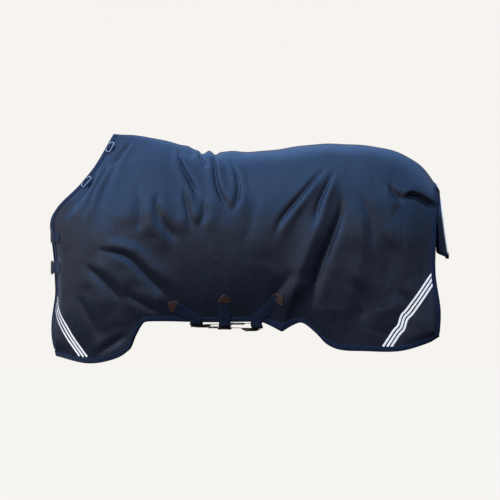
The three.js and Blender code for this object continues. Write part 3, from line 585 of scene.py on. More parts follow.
def band(name, points, widths, width, thickness, finish):
    rings, across = band_rings(np.asarray(points), widths, width, thickness)
    return crisp(sweep(name, rings, finish, across), 50)


def resampled(points, spacing):
    """Points along a line at an even spacing, and each one's direction."""
    length = np.concatenate([[0], np.cumsum(np.linalg.norm(np.diff(points, axis=0), axis=1))])
    count = max(2, int(length[-1] / spacing))
    at = (np.arange(count) + 0.5) * length[-1] / count
    line = np.stack([np.interp(at, length, points[:, k]) for k in range(3)], 1)
    index = np.clip(np.searchsorted(length, at) - 1, 0, len(points) - 2)
    return line, unit(points[index + 1] - points[index]), at / length[-1]


STITCH_PROFILE = [(-1.0, 0.25), (-0.62, 1.0), (0.62, 1.0), (1.0, 0.25)]
STITCH_SIDES = 5


def stitches(name, lines, finish, spacing=6.0, length=4.2, thread=0.9):
    """Rows of stitches. Each line is its points and the cloth's normals there."""
    points, faces = [], []
    turns = np.linspace(0, 2 * np.pi, STITCH_SIDES, endpoint=False)
    for path, normals in lines:
        path, normals = np.asarray(path, float), np.asarray(normals, float)
        middle, way, share = resampled(path, spacing)
        up = np.stack([np.interp(share, np.linspace(0, 1, len(normals)), normals[:, k]) for k in range(3)], 1)
        side = unit(np.cross(way, up))
        up = np.cross(side, way)
        for p, w, s, n in zip(middle, way, side, up):
            first = len(points)
            for place, size in STITCH_PROFILE:
                sink = 0.35 * thread if size < 1 else 0.0
                for turn in turns:
                    radius = thread / 2 * size
                    points.append(p + w * place * length / 2 + s * math.cos(turn) * radius
                                  + n * (math.sin(turn) * radius * 0.7 - sink))
            for ring in range(len(STITCH_PROFILE) - 1):
                a = first + ring * STITCH_SIDES
                for k in range(STITCH_SIDES):
                    j = (k + 1) % STITCH_SIDES
                    faces.append((a + k, a + j, a + STITCH_SIDES + j, a + STITCH_SIDES + k))
            last = first + (len(STITCH_PROFILE) - 1) * STITCH_SIDES
            faces.append(tuple(first + k for k in reversed(range(STITCH_SIDES))))
            faces.append(tuple(last + k for k in range(STITCH_SIDES)))
    return outward(mesh_piece(name, points, faces, finish))


# ---------------------------------------------------------------- finishes
def shader(name, roughness, metallic=0.0, specular=0.5):
    finish = bpy.data.materials.new(name)
    finish.use_nodes = True
    tree = finish.node_tree
    surface_shader = tree.nodes["Principled BSDF"]
    surface_shader.inputs["Roughness"].default_value = roughness
    surface_shader.inputs["Metallic"].default_value = metallic
    surface_shader.inputs["Specular IOR Level"].default_value = specular
    return finish, tree, surface_shader


def node(tree, kind, inputs=None, **settings):
    made = tree.nodes.new(kind)
    for key, value in settings.items():
        setattr(made, key, value)
    for socket, value in (inputs or {}).items():
        if isinstance(value, bpy.types.NodeSocket):
            tree.links.new(value, made.inputs[socket])
        else:
            made.inputs[socket].default_value = value
    return made


def maths(tree, operation, a, b=0.0):
    return node(tree, "ShaderNodeMath", {0: a, 1: b}, operation=operation).outputs[0]


def cut_axes(tree):
    """Distance across and along the piece's own cloth, in metres."""
    split = node(tree, "ShaderNodeSeparateXYZ", {0: node(tree, "ShaderNodeUVMap", uv_map="cut").outputs[0]})
    return split.outputs[0], split.outputs[1]


def object_noise(tree, scale, detail=4.0, roughness=0.55, stretch=(1.0, 1.0, 1.0)):
    place = node(tree, "ShaderNodeTexCoord").outputs["Object"]
    mapped = node(tree, "ShaderNodeMapping", {"Vector": place, "Scale": stretch}).outputs[0]
    return node(tree, "ShaderNodeTexNoise", {"Vector": mapped, "Scale": scale, "Detail": detail,
                                             "Roughness": roughness}).outputs[0]


def blend_colours(tree, factor, dark, light, low=0.3, high=0.7):
    ramp = node(tree, "ShaderNodeValToRGB", {0: factor})
    ramp.color_ramp.elements[0].position = low
    ramp.color_ramp.elements[0].color = (*dark[:3], 1)
    ramp.color_ramp.elements[1].position = high
    ramp.color_ramp.elements[1].color = (*light[:3], 1)
    return ramp.outputs[0]


def mixed(tree, factor, a, b):
    mix = node(tree, "ShaderNodeMix", {0: factor, 6: a, 7: b}, data_type="RGBA")
    return mix.outputs[2]


def ribs(tree, distance, pitch):
    """A rounded rib profile from 0 to 1 that repeats each pitch."""
    wave = maths(tree, "SINE", maths(tree, "MULTIPLY", distance, 2 * math.pi / pitch))
    return maths(tree, "MULTIPLY", maths(tree, "ADD", wave, 1.0), 0.5)


def bumped(tree, surface_shader, height, distance, strength=1.0):
    made = node(tree, "ShaderNodeBump", {"Height": height, "Distance": distance, "Strength": strength})
    tree.links.new(made.outputs[0], surface_shader.inputs["Normal"])


def tone(colour, factor):
    return tuple(channel * factor for channel in colour[:3])


THREAD_PITCH = 0.0016


def coated_cloth(name, colour, roughness=0.28, grime=0.5):
    """Coated nylon: a plain weave under a thin proofing, with scuffs and a little dust low down."""
    finish, tree, bsdf = shader(name, roughness, specular=0.9)
    across, along = cut_axes(tree)
    weave = maths(tree, "MULTIPLY", ribs(tree, across, THREAD_PITCH), ribs(tree, along, THREAD_PITCH))
    patches = object_noise(tree, 5.0, 6.0)
    crumple = object_noise(tree, 42.0, 8.0, 0.62)
    base = blend_colours(tree, patches, tone(colour, 0.82), tone(colour, 1.16))
    threads = mixed(tree, maths(tree, "MULTIPLY", weave, 0.35), base, (*tone(colour, 1.7), 1))
    place = node(tree, "ShaderNodeTexCoord").outputs["Object"]
    height = node(tree, "ShaderNodeSeparateXYZ", {0: place}).outputs[2]
    low = node(tree, "ShaderNodeMapRange", {0: height, 1: -0.55, 2: -0.95, 3: 0.0, 4: 1.0}).outputs[0]
    specks = blend_colours(tree, object_noise(tree, 28.0, 8.0, 0.7), (0, 0, 0), (1, 1, 1), 0.52, 0.75)
    dust = maths(tree, "MULTIPLY", maths(tree, "MULTIPLY", low, specks), 0.10 * grime)
    tree.links.new(mixed(tree, dust, threads, (0.16, 0.14, 0.12, 1)), bsdf.inputs["Base Color"])
    rough = node(tree, "ShaderNodeMapRange",
                 {0: crumple, 1: 0.3, 2: 0.7, 3: roughness - 0.07, 4: roughness + 0.1})
    tree.links.new(rough.outputs[0], bsdf.inputs["Roughness"])
    relief = maths(tree, "ADD", maths(tree, "MULTIPLY", weave, 0.12), maths(tree, "MULTIPLY", crumple, 1.1))
    bumped(tree, bsdf, relief, 0.0007, 0.7)
    bsdf.inputs["Sheen Weight"].default_value = 0.12
    bsdf.inputs["Sheen Roughness"].default_value = 0.4
    bsdf.inputs["Sheen Tint"].default_value = (0.45, 0.62, 1.0, 1)
    return finish


def ribbed_tape(name, colour, pitch, roughness=0.7, worn=0.25):
    """Woven tape or webbing: ribs across its run, with lighter worn threads."""
    finish, tree, bsdf = shader(name, roughness, specular=0.35)
    across, along = cut_axes(tree)
    zigzag = maths(tree, "PINGPONG", across, pitch * 5)
    slant = maths(tree, "ADD", along, maths(tree, "MULTIPLY", zigzag, 0.8))
    rib = ribs(tree, slant, pitch)
    thread = ribs(tree, across, pitch * 0.9)
    weave = maths(tree, "ADD", maths(tree, "MULTIPLY", rib, 0.7), maths(tree, "MULTIPLY", thread, 0.3))
    fuzz = object_noise(tree, 90.0, 6.0, 0.7)
    base = blend_colours(tree, weave, tone(colour, 0.6), tone(colour, 1.35), 0.1, 0.9)
    wear = maths(tree, "MULTIPLY", blend_colours(tree, fuzz, (0, 0, 0), (1, 1, 1), 0.5, 0.8), worn)
    tree.links.new(mixed(tree, wear, base, (*tone(colour, 2.6), 1)), bsdf.inputs["Base Color"])
    bumped(tree, bsdf, weave, 0.0006, 0.9)
    bsdf.inputs["Sheen Weight"].default_value = 0.15
    return finish


def soft_filling(name, colour, scale=60.0):
    """Wadding or fleece: matt, with short tufts."""
    finish, tree, bsdf = shader(name, 0.95, specular=0.15)
    tufts = object_noise(tree, scale, 10.0, 0.75)
    tree.links.new(blend_colours(tree, tufts, tone(colour, 0.6), tone(colour, 1.15), 0.3, 0.65),
                   bsdf.inputs["Base Color"])
    bumped(tree, bsdf, tufts, 0.003, 1.0)
    bsdf.inputs["Sheen Weight"].default_value = 0.5
    return finish


def lining_cloth(name, colour):
    """Smooth woven lining with faint rows of quilting."""
    finish, tree, bsdf = shader(name, 0.42, specular=0.5)
    across, along = cut_axes(tree)
    weave = maths(tree, "MULTIPLY", ribs(tree, across, 0.0009), ribs(tree, along, 0.0009))
    row = maths(tree, "POWER", ribs(tree, across, 0.11), 40.0)
    soft = object_noise(tree, 9.0, 5.0)
    base = blend_colours(tree, soft, tone(colour, 0.8), tone(colour, 1.2))
    tree.links.new(mixed(tree, maths(tree, "MULTIPLY", weave, 0.25), base, (*tone(colour, 1.8), 1)),
                   bsdf.inputs["Base Color"])
    relief = maths(tree, "SUBTRACT", maths(tree, "MULTIPLY", weave, 0.1), row)
    bumped(tree, bsdf, maths(tree, "ADD", relief, soft), 0.0012, 0.8)
    return finish


def leather(name, colour):
    """Brown leather: pebbled grain, darker in the pores, paler where it is rubbed."""
    finish, tree, bsdf = shader(name, 0.5, specular=0.45)
    place = node(tree, "ShaderNodeTexCoord").outputs["Object"]
    cells = node(tree, "ShaderNodeTexVoronoi", {"Vector": place, "Scale": 750.0}, feature="DISTANCE_TO_EDGE")
    grain = node(tree, "ShaderNodeMapRange", {0: cells.outputs[0], 1: 0.0, 2: 0.25}).outputs[0]
    rub = object_noise(tree, 55.0, 6.0, 0.65)
    base = blend_colours(tree, rub, tone(colour, 0.7), tone(colour, 1.35))
    tree.links.new(mixed(tree, maths(tree, "MULTIPLY", maths(tree, "SUBTRACT", 1.0, grain), 0.5), base,
                         (*tone(colour, 0.35), 1)), bsdf.inputs["Base Color"])
    rough = node(tree, "ShaderNodeMapRange", {0: rub, 1: 0.3, 2: 0.7, 3: 0.4, 4: 0.62}).outputs[0]
    tree.links.new(rough, bsdf.inputs["Roughness"])
    bumped(tree, bsdf, maths(tree, "ADD", grain, rub), 0.0004, 0.8)
    return finish


def metal(name, colour, roughness, tarnish):
    """Cast metal: bright where rubbed, dull and darker in its hollows, with fine scratches."""
    finish, tree, bsdf = shader(name, roughness, metallic=0.6)
    cloudy = object_noise(tree, 60.0, 6.0, 0.65)
    scratches = object_noise(tree, 160.0, 3.0, 0.5, (1.0, 9.0, 1.0))
    base = blend_colours(tree, cloudy, tarnish, colour, 0.35, 0.62)
    tree.links.new(base, bsdf.inputs["Base Color"])
    rough = node(tree, "ShaderNodeMapRange",
                 {0: scratches, 1: 0.3, 2: 0.7, 3: roughness - 0.08, 4: roughness + 0.14}).outputs[0]
    tree.links.new(rough, bsdf.inputs["Roughness"])
    bumped(tree, bsdf, scratches, 0.00015, 0.6)
    return finish


def reflective_tape_painted_glow(name, colour):
    """Silver tape of tiny glass beads: a fine mesh pattern, scuffed, with a weak painted glow of its own that
    stands in for the light the beads send back.
    """
    finish, tree, bsdf = shader(name, 0.38, specular=0.7)
    across, along = cut_axes(tree)
    mesh = maths(tree, "MULTIPLY", ribs(tree, across, 0.0012), ribs(tree, along, 0.0012))
    scuffs = object_noise(tree, 45.0, 7.0, 0.7)
    base = blend_colours(tree, scuffs, tone(colour, 0.72), colour, 0.28, 0.5)
    beads = maths(tree, "MULTIPLY", mesh, 0.3)
    tree.links.new(mixed(tree, beads, base, (1, 1, 1, 1)), bsdf.inputs["Base Color"])
    bumped(tree, bsdf, mesh, 0.0002, 0.5)
    bsdf.inputs["Coat Weight"].default_value = 0.3
    # Painted glow: a weak emission in the tape's own colour stands in for the beads' retro-reflection; the
    # tape is no lamp.
    bsdf.inputs["Emission Color"].default_value = (*colour, 1)
    bsdf.inputs["Emission Strength"].default_value = 0.5
    return finish


def thread(name, colour):
    """Twisted sewing thread, darker and lighter along its run."""
    finish, tree, bsdf = shader(name, 0.6, specular=0.4)
    twist = object_noise(tree, 900.0, 2.0, 0.5)
    base = blend_colours(tree, twist, tone(colour, 0.7), tone(colour, 1.3))
    tree.links.new(base, bsdf.inputs["Base Color"])
    bumped(tree, bsdf, twist, 0.0002, 0.7)
    return finish


def pale_ground(name, colour):
    """Pale studio paper: its own even brightness, and a little of the light that falls on it."""
    finish, tree, bsdf = shader(name, 0.95, specular=0.0)
    mottle = object_noise(tree, 0.8, 3.0)
    base = blend_colours(tree, mottle, tone(colour, 0.03), tone(colour, 0.04))
    tree.links.new(base, bsdf.inputs["Base Color"])
    bsdf.inputs["Emission Color"].default_value = (*colour, 1)
    bsdf.inputs["Emission Strength"].default_value = 0.99
    return finish


FINISHES = {}


def finish_named(name):
    """The finish of that name, made when it is first asked for."""
    if name not in FINISHES:
        colours = bpy.context.scene.rug_cloth
        makers = {
            "outer_cloth": lambda: coated_cloth("outer_cloth", colours.outer),
            "flap_cloth": lambda: coated_cloth("flap_cloth", colours.outer, 0.55, 0.2),
            "lining": lambda: lining_cloth("lining", colours.lining),
            "wadding": lambda: soft_filling("wadding", (0.75, 0.75, 0.72)),
            "fleece": lambda: soft_filling("fleece", (0.2, 0.22, 0.26), 90.0),
            "binding": lambda: ribbed_tape("binding", tone(colours.trim, 0.85), 0.0021, 0.62, 0.15),
            "webbing": lambda: ribbed_tape("webbing", tone(colours.trim, 0.62), 0.0030, 0.66, 0.25),
            "leather": lambda: leather("leather", colours.leather),
            "brass": lambda: metal("brass", (0.86, 0.68, 0.38), 0.3, (0.46, 0.35, 0.18)),
            "steel": lambda: metal("steel", (0.9, 0.91, 0.92), 0.26, (0.62, 0.62, 0.64)),
            # The reflective stripes and the flap's piping both carry a weak painted glow that stands in for
            # retro-reflection.
            "reflective": lambda: reflective_tape_painted_glow("reflective", (0.93, 0.915, 0.88)),
            "piping": lambda: reflective_tape_painted_glow("piping", (0.78, 0.8, 0.84)),
            "navy_thread": lambda: thread("navy_thread", tone(colours.trim, 1.6)),
            "tan_thread": lambda: thread("tan_thread", (0.42, 0.27, 0.15)),
            "ground": lambda: pale_ground("ground", (0.93, 0.905, 0.87)),
        }
        FINISHES[name] = makers[name]()
    return FINISHES[name]


# ---------------------------------------------------------------- sizes and colours to change
class RugClothSettings(bpy.types.PropertyGroup):
    """Cloth, trim and folds."""

    outer: bpy.props.FloatVectorProperty(
        name="Outer cloth", description="Colour of the coated outer cloth",
        default=(0.0165, 0.0205, 0.0315), size=3, min=0, max=1, subtype="COLOR")
    trim: bpy.props.FloatVectorProperty(
        name="Trim", description="Colour of the edge binding and the webbing",
        default=(0.017, 0.028, 0.064), size=3, min=0, max=1, subtype="COLOR")
    lining: bpy.props.FloatVectorProperty(
        name="Lining", description="Colour of the lining",
        default=(0.022, 0.032, 0.075), size=3, min=0, max=1, subtype="COLOR")
    leather: bpy.props.FloatVectorProperty(
        name="Leather", description="Colour of the leather patches and chest strap",
        default=(0.085, 0.040, 0.026), size=3, min=0, max=1, subtype="COLOR")
    fold_height: bpy.props.FloatProperty(
        name="Fold height", description="How strongly the cloth folds, as a share of the drawn folds",
        default=1.0, min=0, max=1.5)
    columns: bpy.props.IntProperty(
        name="Columns", description="Pairs of steps along a side panel", default=157, min=12, max=160)
    rows: bpy.props.IntProperty(
        name="Rows", description="Pairs of steps down a side panel", default=74, min=6, max=75)


class RugStudioSettings(bpy.types.PropertyGroup):
    """Camera and light."""

    distance: bpy.props.FloatProperty(
        name="Camera distance", description="From the camera to the middle of the rug",
        default=26.0, min=4, max=28, unit="LENGTH")
    fill: bpy.props.FloatProperty(
        name="Fill", description="The rug's length as a share of the view's width",
        default=0.8, min=0.3, max=1)
    overhead: bpy.props.FloatProperty(
        name="Overhead light", description="Power of the soft light above", default=60.0, min=0, unit="POWER")
    front: bpy.props.FloatProperty(
        name="Front light", description="Power of the soft light in front", default=70.0, min=0, unit="POWER")


# ---------------------------------------------------------------- panels
class Panel:
    """One draped side panel, worked out once for all its plies."""

    def __init__(self, side, columns, rows):
        u, v = np.meshgrid(np.linspace(0, 1, columns + 1), np.linspace(0, 1, rows + 1) ** 1.06, indexing="ij")
        point, normal, _, _ = cloth_frame(side, u.ravel(), v.ravel())
        self.v = v
        self.press = pinch(u, v)
        self.stand = drape(side, u.ravel(), v.ravel(), point).reshape(u.shape)
        self.forward = front_draw(u.ravel(), point[:, 2]).reshape(u.shape)
        self.point, self.normal = point.reshape(*u.shape, 3), normal.reshape(*u.shape, 3)

    def halved(self):
        """The same panel with half the steps, drawn in so that it stays under the finer one."""
        low = np.pad(self.stand, 1, mode="edge")
        m, n = self.stand.shape
        low = np.min([low[i:i + m, j:j + n] for i in range(3) for j in range(3)], axis=0)
        half = object.__new__(Panel)
        half.stand = low[::2, ::2]
        half.v, half.press = self.v[::2, ::2], self.press[::2, ::2]
        half.forward = self.forward[::2, ::2]
        half.point, half.normal = self.point[::2, ::2], self.normal[::2, ::2]
        return half

    def face(self, lift):
        points = self.point + self.normal * (self.stand + lift * self.press)[..., None]
        points[..., 0] -= self.forward
        points[..., 2] -= hem_point_drop(points[..., 0], self.v)
        return points

    def ply(self, name, top, bottom, finish):
        return grid_solid(name, self.face(top), self.face(bottom), finish_named(finish))


PANELS = {}


def panel(side):
    if side not in PANELS:
        sizes = bpy.context.scene.rug_cloth
        PANELS[side] = Panel(side, 2 * sizes.columns, 2 * sizes.rows)
    return PANELS[side]


WADDING_TOP = -SHELL_THICKNESS - PLY_GAP
LINING_TOP = WADDING_TOP - WADDING_THICKNESS - PLY_GAP
CLOTH_BOTTOM = LINING_TOP - LINING_THICKNESS
WADDING_SPARE = 0.5


class RUG_OT_outer_cloth(bpy.types.Operator):
    """Cuts and drapes the two coated outer panels"""

    bl_idname = "rug.outer_cloth"
    bl_label = "Outer cloth"

    def execute(self, context):
        for side in SIDES:
            piece = panel(side).ply(f"{side}_outer_cloth", 0.0, -SHELL_THICKNESS, "outer_cloth")
            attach(piece, ROOT)
            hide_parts(f"{side}_shell")
        return {"FINISHED"}


class RUG_OT_padding(bpy.types.Operator):
    """Lays the wadding and the lining under each outer panel"""

    bl_idname = "rug.padding"
    bl_label = "Wadding and lining"

    def execute(self, context):
        for side in SIDES:
            under = panel(side).halved()
            wadding = under.ply(f"{side}_quilt_wadding", WADDING_TOP - WADDING_SPARE,
                                WADDING_TOP - WADDING_THICKNESS + WADDING_SPARE, "wadding")
            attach(wadding, ROOT)
            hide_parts(f"{side}_wadding")
            lining = under.ply(f"{side}_inner_lining", LINING_TOP, CLOTH_BOTTOM, "lining")
            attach(lining, ROOT)
            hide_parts(f"{side}_lining")
        return {"FINISHED"}


# ---------------------------------------------------------------- bindings
BINDING_TURN = 7
BINDING_START, BINDING_END = 0.002, 0.978  # the front and rear tapes' ends, as shares down the panel


def binding_rings(side, edge_u, edge_v, inside_u, inside_v):
    """Rings of a tape folded round an edge of the pressed plies."""
    edge, normal, _, _ = cloth(side, edge_u, edge_v)
    inside, inside_normal, _, _ = cloth(side, inside_u, inside_v)
    press = pinch(np.atleast_1d(edge_u), np.atleast_1d(edge_v))[:, None]
    press_in = pinch(np.atleast_1d(inside_u), np.atleast_1d(inside_v))[:, None]
    out = unit(edge - inside)
    t = BINDING_THICKNESS
    low, low_in = CLOTH_BOTTOM * press, CLOTH_BOTTOM * press_in
    middle, radius = low / 2, -low / 2 + PLY_GAP

    def arc(extra):
        angles = np.linspace(math.pi / 2, -math.pi / 2, BINDING_TURN)
        bend = radius + extra
        return [edge + out * bend * math.cos(a) + normal * (middle + bend * math.sin(a)) for a in angles]

    def row(share, above):
        face = inside * (1 - share) + edge * share
        lean = unit(inside_normal * (1 - share) + normal * share)
        bottom = low_in * (1 - share) + low * share
        return face + lean * (above if above > 0 else bottom + above)

    rings = [row(0.0, PLY_GAP * 0.3 + t * 0.5), row(0.05, PLY_GAP + t), row(0.5, PLY_GAP + t), *arc(t),
             row(0.5, -PLY_GAP - t), row(0.05, -PLY_GAP - t), row(0.0, -PLY_GAP * 0.3 - t * 0.5),
             row(0.0, -PLY_GAP * 0.2), row(0.5, -PLY_GAP), *reversed(arc(0.0)), row(0.5, PLY_GAP),
             row(0.0, PLY_GAP * 0.2)]
    return np.stack(rings, 1)


def inset(side, edge, at, width):
    """Places one width inside an edge of a panel: its front, rear or hem."""
    at = np.asarray(at, float)
    fixed = {"front": 0.0, "rear": 1.0, "hem": 1.0}[edge]
    u, v = (at, np.full_like(at, fixed)) if edge == "hem" else (np.full_like(at, fixed), at)
    _, _, along, down = cloth_frame(side, u, v)
    step = width / np.linalg.norm(down if edge == "hem" else along, axis=1)
    if edge == "hem":
        return u, v, u, v - step
    return u, v, u + step * (1 if edge == "front" else -1), v


def binding(side, edge, name, at):
    return crisp(sweep(name, binding_rings(side, *inset(side, edge, at, BINDING_WIDTH)),
                       finish_named("binding")), 60)


def seam_line(side, edge, at, width, lift):
    """A line on the cloth at a distance inside an edge, with the cloth's normals."""
    _, _, u, v = inset(side, edge, at, width)
    points, normals, _, _ = cloth(side, u, v, 0.0)
    return points + normals * lift, normals


STITCH_IN = 2.6
STITCH_LIFT = 0.15


class RUG_OT_bindings(bpy.types.Operator):
    """Folds ribbed tape round the front, rear and hem edges and sews it down"""

    bl_idname = "rug.bindings"
    bl_label = "Edge bindings"

    def execute(self, context):
        runs = {"front": np.linspace(BINDING_START, BINDING_END, 150),
                "rear": np.linspace(BINDING_START, BINDING_END, 110), "hem": np.linspace(0.0, 1.0, 330)}
        lift = PLY_GAP + BINDING_THICKNESS + STITCH_LIFT
        for side in SIDES:
            lines = []
            for edge, at in runs.items():
                piece = binding(side, edge, f"{side}_{edge}_edge_tape", at)
                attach(piece, ROOT)
                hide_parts(f"{side}_{edge}_binding")
                lines.append(seam_line(side, edge, at[2:-2], BINDING_WIDTH - STITCH_IN, lift))
            sewn = stitches(f"{side}_edge_stitching", lines, finish_named("navy_thread"))
            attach(sewn, ROOT)
        return {"FINISHED"}


# ---------------------------------------------------------------- spine seam
SEAM_TAPE = 16.0
SEAM_TAPE_THICKNESS = 0.9
SEAM_TAPE_EDGE = 0.25
SEAM_ROWS = 0.62  # where its stitches run, from its middle to its edge


class RUG_OT_spine_seam(bpy.types.Operator):
    """Covers the seam along the spine with a tape and two rows of stitches"""

    bl_idname = "rug.spine_seam"
    bl_label = "Spine seam"

    def execute(self, context):
        u = np.linspace(0.013, 0.987, 260)
        drop = SEAM_TAPE / 2 / np.linalg.norm(cloth_frame("near", u, np.zeros_like(u))[3], axis=1)
        rings = []
        for side, share in (("near", 1.0), ("near", 0.55), ("near", 0.0), ("off", 0.55), ("off", 1.0)):
            point, normal, _, _ = cloth(side, u, drop * share + 1e-6)
            if share == 0.0:
                point[:, 1] = 0
            rings.append((point, normal))
        thick = [SEAM_TAPE_EDGE, *[SEAM_TAPE_THICKNESS] * 3, SEAM_TAPE_EDGE]
        top = [p + n * (t + 0.25) for (p, n), t in zip(rings, thick)]
        under = [p + n * 0.2 for p, n in rings]
        piece = sweep("spine_seam_tape", np.stack([*top, *reversed(under)], 1), finish_named("binding"))
        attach(piece, ROOT)
        lines = []
        for side in SIDES:
            point, normal, _, _ = cloth(side, u, drop * SEAM_ROWS)
            lines.append((point + normal * (SEAM_TAPE_THICKNESS + 0.45), normal))
        sewn = stitches("spine_seam_stitching", lines, finish_named("navy_thread"))
        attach(sewn, ROOT)
        return {"FINISHED"}


# ---------------------------------------------------------------- webbing straps
BELLY = [
    {"name": "front_belly", "patch": (0.397, 0.89), "hem": 0.44, "farthest": 2},
    {"name": "middle_belly", "patch": (0.497, 0.86), "hem": 0.497, "farthest": 1},
    {"name": "rear_belly", "patch": (0.59, 0.85), "hem": 0.5555, "farthest": 0},
]
CHEST = [{"name": "upper_chest", "level": 0.589}, {"name": "lower_chest", "level": 0.72}]
HEM_TURN = 15.0
STRAP_SPACING = 8.0
UNDER_TURN = 16.0
HEM_APPROACH = 0.985
TAB_START, TAB_EDGE = 0.07, 0.012
STRAP_START, STRAP_EDGE = 0.15, 0.075
CHEST_LEAD = 26.0
LEAD = 24.0
FOLD_BACK = 18.0
EYE_RADIUS = math.hypot(BAR_DEPTH, METAL_THICKNESS) / 2 + EYE_CLEARANCE + WEB_THICKNESS / 2
WINDOW_CLEARANCE = 1.5
WEB_BAR = 5.0
SLOT_LENGTH = 18.0
SLOT_MIDDLE = EYE_RADIUS + WEB_THICKNESS / 2 + WINDOW_CLEARANCE + WEB_BAR + SLOT_LENGTH / 2
PLATE_TILT = math.radians(13)
HOOK_REACH = 32.0
BAR_SPAN = (SLOT_MIDDLE * math.cos(PLATE_TILT)
            + HOOK_REACH * math.cos(math.asin(SLOT_MIDDLE * math.sin(PLATE_TILT) / HOOK_REACH)))
LAID_STEPS = 14
TURN_STEPS = 12
TURN_ARM = 0.62
EYE_STEPS = 14
UP = np.array((0.0, 0.0, 1.0))
AHEAD = np.array((-1.0, 0.0, 0.0))


def smooth_turn(start, heading, end, leaving):
    """A smooth curve from one point and heading to another."""
    arm = np.linalg.norm(end - start) * TURN_ARM
    t = np.linspace(0, 1, TURN_STEPS + 1)[1:, None]
    a, b = start + heading * arm, end - leaving * arm
    return start * (1 - t) ** 3 + 3 * a * t * (1 - t) ** 2 + 3 * b * t * t * (1 - t) + end * t**3


def laid_webbing(side, start, end, line_start, line_heading, edge_run):
    """Webbing sewn down on a panel, then turned over the edge onto a straight line."""
    t = np.linspace(0, 1, LAID_STEPS + 1)
    u, v = start[0] + (end[0] - start[0]) * t, start[1] + (end[1] - start[1]) * t
    face, normal, _, _ = cloth(side, u, v)
    lift = WEB_LIFT * smooth_step(0.5, 1.0, t) + WEB_SEWN_LIFT * (1 - smooth_step(0.5, 1.0, t))
    points = face + normal * lift[:, None]
    square = unit(np.cross(points[1] - points[0], normal[0]))
    if square @ edge_run < 0:
        square = -square
    on_edge = unit(edge_run - normal * (normal @ edge_run)[:, None])
    widths = on_edge * t[:, None] + square * (1 - t)[:, None]
    heading = unit(points[-1] - points[-2])
    turned = smooth_turn(points[-1], heading, line_start, line_heading)
    share = (np.arange(TURN_STEPS) + 1)[:, None] / TURN_STEPS
    turned_widths = widths[-1] * (1 - share) + edge_run * share
    return {"points": np.concatenate([points, turned]), "widths": np.concatenate([widths, turned_widths]),
            "laid": LAID_STEPS + 1, "normal": normal}


def webbing_eye(bar, run, out):
    """Webbing round a bar, folded back outside itself."""
    angles = np.linspace(0, math.pi, EYE_STEPS + 1)[:, None]
    turned = bar - out * EYE_RADIUS * np.cos(angles) + run * EYE_RADIUS * np.sin(angles)
    back = bar - run * FOLD_BACK + out * (WEB_THICKNESS + PLY_GAP - EYE_RADIUS)
    half = (turned[-1] + back) / 2 + out * 0.8
    return np.concatenate([turned, [half, back]])


def fastening(name, near, off, run, out, materials):
    """The tab and the strap of a fastening, each folded round its bar and sewn to its own side."""
    across = unit(np.cross(run, out))
    near_bar = near["points"][-1] + run * LEAD + out * EYE_RADIUS
    off_bar = near_bar + run * BAR_SPAN
    for part, laid, eye in (("tab", near, webbing_eye(near_bar, run, out)),
                            ("strap", off, webbing_eye(off_bar, -run, out))):
        points = np.concatenate([laid["points"], eye])
        widths = np.concatenate([laid["widths"], np.tile(across, (len(eye), 1))])
        piece = band(f"{name}_{part}_web", points, widths, WEB_WIDTH, WEB_THICKNESS,
                     finish_named(materials[part]))
        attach(piece, ROOT)
        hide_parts(f"{name}_{part}")
        rows = []
        for edge in (-1, 1):
            count = laid["laid"]
            line = laid["points"][:count] + unit(laid["widths"][:count]) * edge * (WEB_WIDTH / 2 - 4)
            rows.append((line + laid["normal"] * (WEB_THICKNESS / 2 + 0.2), laid["normal"]))
        thread_used = "tan_thread" if materials[part] == "leather" else "navy_thread"
        sewn = stitches(f"{name}_{part}_stitching", rows, finish_named(thread_used), spacing=5.0, length=3.6)
        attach(sewn, ROOT)


def place_on(side, at):
    u, v = np.array([at[0]], float), np.array([at[1]], float)
    return surface(side, u, v)[0]


# ---------------------------------------------------------------- leather patches
PATCH_OUTLINE = [(-26, -17), (26, -17), (27, -10), (24, -3), (9, 17), (4, 20.5), (-4, 20.5), (-9, 17),
                 (-24, -3), (-27, -10)]
PATCH_GAP = 0.4
PATCH_RINGS = [(1.0, 0.2), (0.985, 0.75), (0.93, 1.0), (0.6, 1.06), (0.25, 1.1)]


def round_outline(points, each=6):
    """A closed smooth line through points."""
    points = np.array(points, float)
    line = []
    for k in range(len(points)):
        p = [points[(k + j) % len(points)] for j in (-1, 0, 1, 2)]
        for t in np.arange(each) / each:
            line.append(p[1] + 0.5 * t * (p[2] - p[0] + t * (2 * p[0] - 5 * p[1] + 4 * p[2] - p[3]
                                                              + t * (3 * (p[1] - p[2]) + p[3] - p[0]))))
    return np.array(line)


def on_panel(side, at, across_way, back_way, outline, lift):
    """Points given across and along a strap, laid on the draped cloth round a place."""
    u, v = np.array([at[0]], float), np.array([at[1]], float)
    _, _, along, down = cloth_frame(side, u, v)
    axes = np.stack([along[0], down[0]], 1)
    offsets = outline[:, :1] * across_way + outline[:, 1:] * back_way
    shares = offsets @ np.linalg.pinv(axes).T
    points, normals, _, _ = cloth(side, at[0] + shares[:, 0], np.minimum(at[1] + shares[:, 1], 0.995))
    return points + normals * lift, normals


